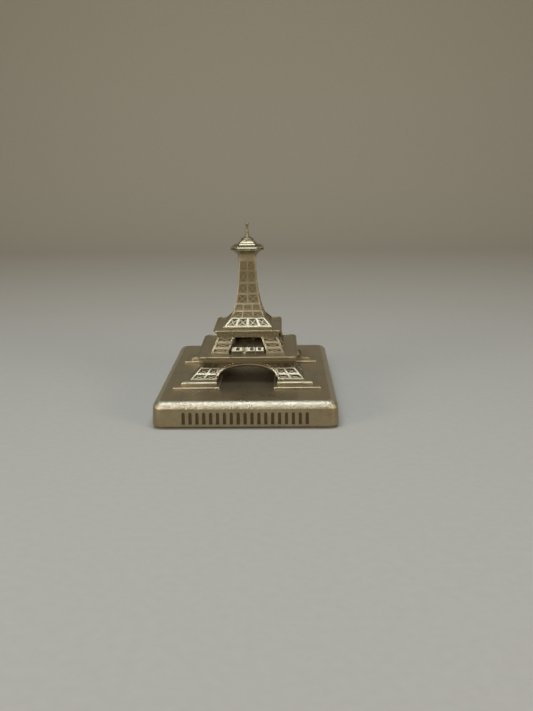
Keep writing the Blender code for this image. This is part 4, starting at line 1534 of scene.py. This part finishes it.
@dataclass
class Top(Assembly):
    """Everything above the shaft, on a plan with cut corners, pinned by the spire's stem."""

    shaft_half: float = 3.85 * MM
    corbel_half: float = 7.35 * MM
    corbel_steps: int = 8
    facet: float = 4.35 * MM
    dome_head: float = 1.1 * MM
    dome_steps: int = 10
    round_count: int = 40

    def tier(self, node: str, levels: Rows, rounding: float = 0.04 * MM, dark: Sequence[int] = (),
             rubbing_and_highlight: float = 0.0) -> None:
        """Make one tier.

        Args:
            node: CAD node that it stands for.
            levels: (half width, half facet, height) from the bottom up.
            rounding: Width of its rounded edges.
            dark: Bands, counted from the bottom, that hold patina and painted shade.
            rubbing_and_highlight: Rubbed wear and painted highlight of all its faces.
        """
        casting = Casting(*(cut_corner_ring(*level) for level in levels))
        # Patina and painted shade on the dark bands.
        for band in dark:
            for face in casting.bands[band]:
                face[casting.patina] = 0.8
        casting.soften(rounding)
        # Rubbed wear and painted highlight over the whole tier.
        casting.spread(casting.wear, rubbing_and_highlight)
        self.shop.finish(casting, node + "_cast", node)

    def turned(self, node: str, profile: Rows, count: int, patina: float) -> None:
        """Make one turned piece.

        Args:
            node: CAD node that it stands for.
            profile: (radius, height) from the bottom up.
            count: Points of each round section.
            patina: Patina and painted shade of all its faces.
        """
        casting = Casting(*(round_ring(radius, z, count=count) for radius, z in profile))
        # Patina and painted shade over the whole piece.
        casting.spread(casting.patina, patina)
        self.shop.finish(casting, node + "_cast", node)

    def corbel(self) -> None:
        """Make the corbel that spreads from the shaft to the gallery."""
        low = foot_of("corbel") - 0.3 * MM
        rise = foot_of("gallery") - low
        levels = []
        for share in (step / self.corbel_steps for step in range(self.corbel_steps + 1)):
            half = self.shaft_half + (self.corbel_half - self.shaft_half) * share ** 3.4
            levels.append((half, half - (0.12 + 2.7 * share ** 1.5) * MM, low + rise * share))
        # A paler tone over the whole corbel: rubbed wear and painted highlight.
        self.tier("corbel", levels, rounding=0.05 * MM, rubbing_and_highlight=0.3)

    def gallery(self) -> None:
        """Make the gallery's lip and its sloping roof."""
        low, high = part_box("gallery")
        roof_low, roof_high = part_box("gallery_roof")
        lip = stepped((high.x, self.facet, low.z), (-0.3, 0.0, 0.0), (0.0, 0.0, 0.1), (0.0, 0.0, 0.14))
        lip += stepped((high.x, self.facet, high.z), (-0.42, 0.0, -0.08))
        lip += stepped((0.0, self.facet, high.z), (6.9, 0.0, -0.04))
        lip += stepped((0.0, self.facet, roof_low.z), (6.9, 0.0, 0.0))
        # The lip's dark bands take patina and painted shade.
        self.tier("gallery", lip, dark=(3, 4))
        roof = stepped((0.0, self.facet, roof_low.z), (6.9, 0.0, 0.0), (6.9, 0.0, 0.05), (7.15, 0.0, 0.09),
                       (7.15, 0.0, 0.12))
        roof += stepped((0.0, 0.0, roof_high.z), (6.3, 4.25, -0.2), (6.1, 4.2, -0.1), (4.6, 3.7, 0.0))
        roof += stepped((0.0, 0.0, foot_of("cabin")), (4.1, 3.2, 0.0))
        # The groove and the top next to the cabin take patina and painted shade.
        self.tier("gallery_roof", roof, dark=(0, 1, 5, 6))

    def cabin(self) -> None:
        """Make the two-tier cabin."""
        low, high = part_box("cabin")
        levels = stepped((0.0, 0.0, low.z), (4.45, 3.5, 0.0), (4.5, 3.55, 0.06), (3.95, 3.15, 0.62),
                         (3.65, 2.95, 0.66), (3.65, 2.95, 0.84), (3.75, 3.0, 0.9), (3.1, 2.55, 1.55))
        levels += stepped((0.0, 0.0, high.z), (2.85, 2.3, -0.1))
        levels += stepped((0.0, 0.0, foot_of("dome")), (2.7, 2.2, 0.0))
        # The step and the neck between the tiers take patina and painted shade.
        self.tier("cabin", levels, rounding=0.07 * MM, dark=(2, 3))

    def dome_and_spire(self) -> None:
        """Make the dome, and on it the spire: a flared collar, a slim mast and a small finial."""
        low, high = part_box("dome")
        collar = high.z + 0.15 * MM
        foot = low.z + 0.1 * MM
        dome = [(high.x, low.z - 0.1 * MM)]
        dome += [(self.dome_head + (high.x - self.dome_head) * math.cos(angle),
                  foot + (collar - foot) * math.sin(angle)) for angle in right_angle(self.dome_steps)]
        self.turned("dome", dome, self.round_count, patina=0.5)

        low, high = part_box("spire")
        spire = stepped((0.0, low.z), (0.5, 0.0), (0.6, 0.2))
        spire += stepped((0.0, collar), (0.6, 0.0), (1.2, 0.0), (1.15, 0.25), (0.85, 0.8), (0.66, 1.5),
                         (0.56, 2.3), (0.5, 3.2))
        spire += stepped((0.0, high.z), (0.5, -1.6), (0.62, -0.9), (0.74, -0.4), (0.72, -0.15), (0.6, 0.0))
        self.turned("spire", spire, 24, patina=0.4)

    def build(self) -> None:
        """Make all tiers."""
        self.corbel()
        self.gallery()
        self.cabin()
        self.dome_and_spire()


@dataclass(frozen=True)
class Softbox:
    """A soft light: where it hangs, where it points, its width and depth, power and colour."""

    name: str
    place: tuple[float, float, float]
    target: tuple[float, float, float]
    size: Pair
    watts: float
    tint: str

    def hang(self) -> None:
        """Put the light in the scene."""
        data = bpy.data.lights.new(self.name, "AREA")
        data.shape = "RECTANGLE"
        data.size, data.size_y = self.size
        data.energy = self.watts
        data.color = linear(self.tint)[:3]
        lamp = new_object(self.name, data)
        lamp.location = self.place
        lamp.rotation_euler = (Vector(self.target) - Vector(self.place)).to_track_quat("-Z", "Y").to_euler()


@dataclass
class Studio:
    """Pale card sweep, softboxes above, in front and at both sides, and the camera."""

    sweep_front: float = -3.0
    sweep_back: float = 0.9
    sweep_half: float = 3.0
    bend_radius: float = 0.35
    bend_steps: int = 12
    wall_height: float = 1.4
    room_tint: str = "#BCB8A8"
    room_strength: float = 0.41
    focal_length: float = 38.99
    camera_place: tuple[float, float, float] = (0.01456, -0.34647, 0.10839)
    pitch: float = math.radians(14.604)
    yaw: float = math.radians(1.078)
    roll: float = math.radians(-0.643)
    lights: tuple[Softbox, ...] = (
        Softbox("overhead", (0.0, -0.1, 0.6), (0.0, -0.05, 0.0), (0.42, 0.25), 3.4, "#D2E4FF"),
        Softbox("front", (-0.2, -0.75, 0.5), (0.0, 0.0, 0.04), (0.26, 0.24), 1.9, "#EAF2FF"),
        Softbox("fill_left", (-0.54, -0.45, 0.2), (0.0, 0.0, 0.03), (0.3, 0.2), 2.1, "#FFF4E4"),
        Softbox("fill_right", (0.54, -0.45, 0.2), (0.0, 0.0, 0.03), (0.3, 0.2), 2.1, "#FFF4E4"),
        Softbox("backdrop_light", (0.0, 0.3, 0.75), (0.0, 0.9, 0.3), (1.4, 0.3), 1.8, "#FFEFCC"),
    )

    def card(self) -> None:
        """Lay the card: a floor that bends up into a backdrop."""
        bend = self.sweep_back - self.bend_radius
        profile = [(self.sweep_front, 0.0), (bend, 0.0)]
        profile += [(bend + self.bend_radius * math.sin(angle), self.bend_radius * (1.0 - math.cos(angle)))
                    for angle in right_angle(self.bend_steps)[1:]]
        profile.append((self.sweep_back, self.wall_height))
        points = [(x, y, z) for x in (-self.sweep_half, self.sweep_half) for y, z in profile]
        count = len(profile)
        mesh = bpy.data.meshes.new("card")
        mesh.from_pydata(points, [], [(i, count + i, count + i + 1, i + 1) for i in range(count - 1)])
        mesh.shade_smooth()
        mesh.materials.append(PaleCard("pale_card").material())
        new_object("card", mesh)

    def camera(self) -> None:
        """Set up the camera."""
        forward = Vector((-math.sin(self.yaw) * math.cos(self.pitch),
                          math.cos(self.yaw) * math.cos(self.pitch), -math.sin(self.pitch)))
        level = Vector((math.cos(self.yaw), math.sin(self.yaw), 0.0))
        upward = level.cross(forward)
        right = level * math.cos(self.roll) + upward * math.sin(self.roll)
        up = upward * math.cos(self.roll) - level * math.sin(self.roll)
        data = bpy.data.cameras.new("camera")
        data.lens = self.focal_length
        data.clip_start = 0.01
        camera = new_object("camera", data)
        turn = Matrix((right, up, -forward)).transposed().to_4x4()
        camera.matrix_world = Matrix.Translation(self.camera_place) @ turn
        bpy.context.scene.camera = camera

    def build(self) -> None:
        """Set up card, lights, ambient light and camera."""
        self.card()
        for light in self.lights:
            light.hang()
        world = bpy.data.worlds.new("room")
        world.use_nodes = True
        background = world.node_tree.nodes["Background"]
        background.inputs["Color"].default_value = linear(self.room_tint)
        background.inputs["Strength"].default_value = self.room_strength
        bpy.context.scene.world = world
        bpy.context.scene.view_settings.view_transform = "Standard"
        self.camera()


def main() -> None:
    """Build the studio and the model, piece by piece."""
    logging.basicConfig(level=logging.INFO, format="%(name)s: %(message)s")
    Studio().build()
    plinth = AntiqueBronze("antique_bronze_plinth", grain=0.7 * MM, grain_height=0.33 * MM,
                           flat_grain=0.04).material()
    tower = AntiqueBronze("antique_bronze_tower", grain=0.45 * MM).material()
    steel = ZincPlatedSteel("zinc_plated_steel").material()
    felt = PressedFelt("black_felt").material()
    shop = Workshop({Slot.PLINTH: plinth, Slot.TOWER: tower, Slot.PLATE: steel, Slot.SCREWS: steel,
                     Slot.FELT: felt})
    for assembly in (Plinth, Underside, Fasteners, LowerStage, FirstDeck, Pavilions, MiddleStage,
                     SecondDeck, Shaft, Top):
        LOG.info("building %s", assembly.__name__)
        assembly(shop).build()


if __name__ == "__main__":
    main()
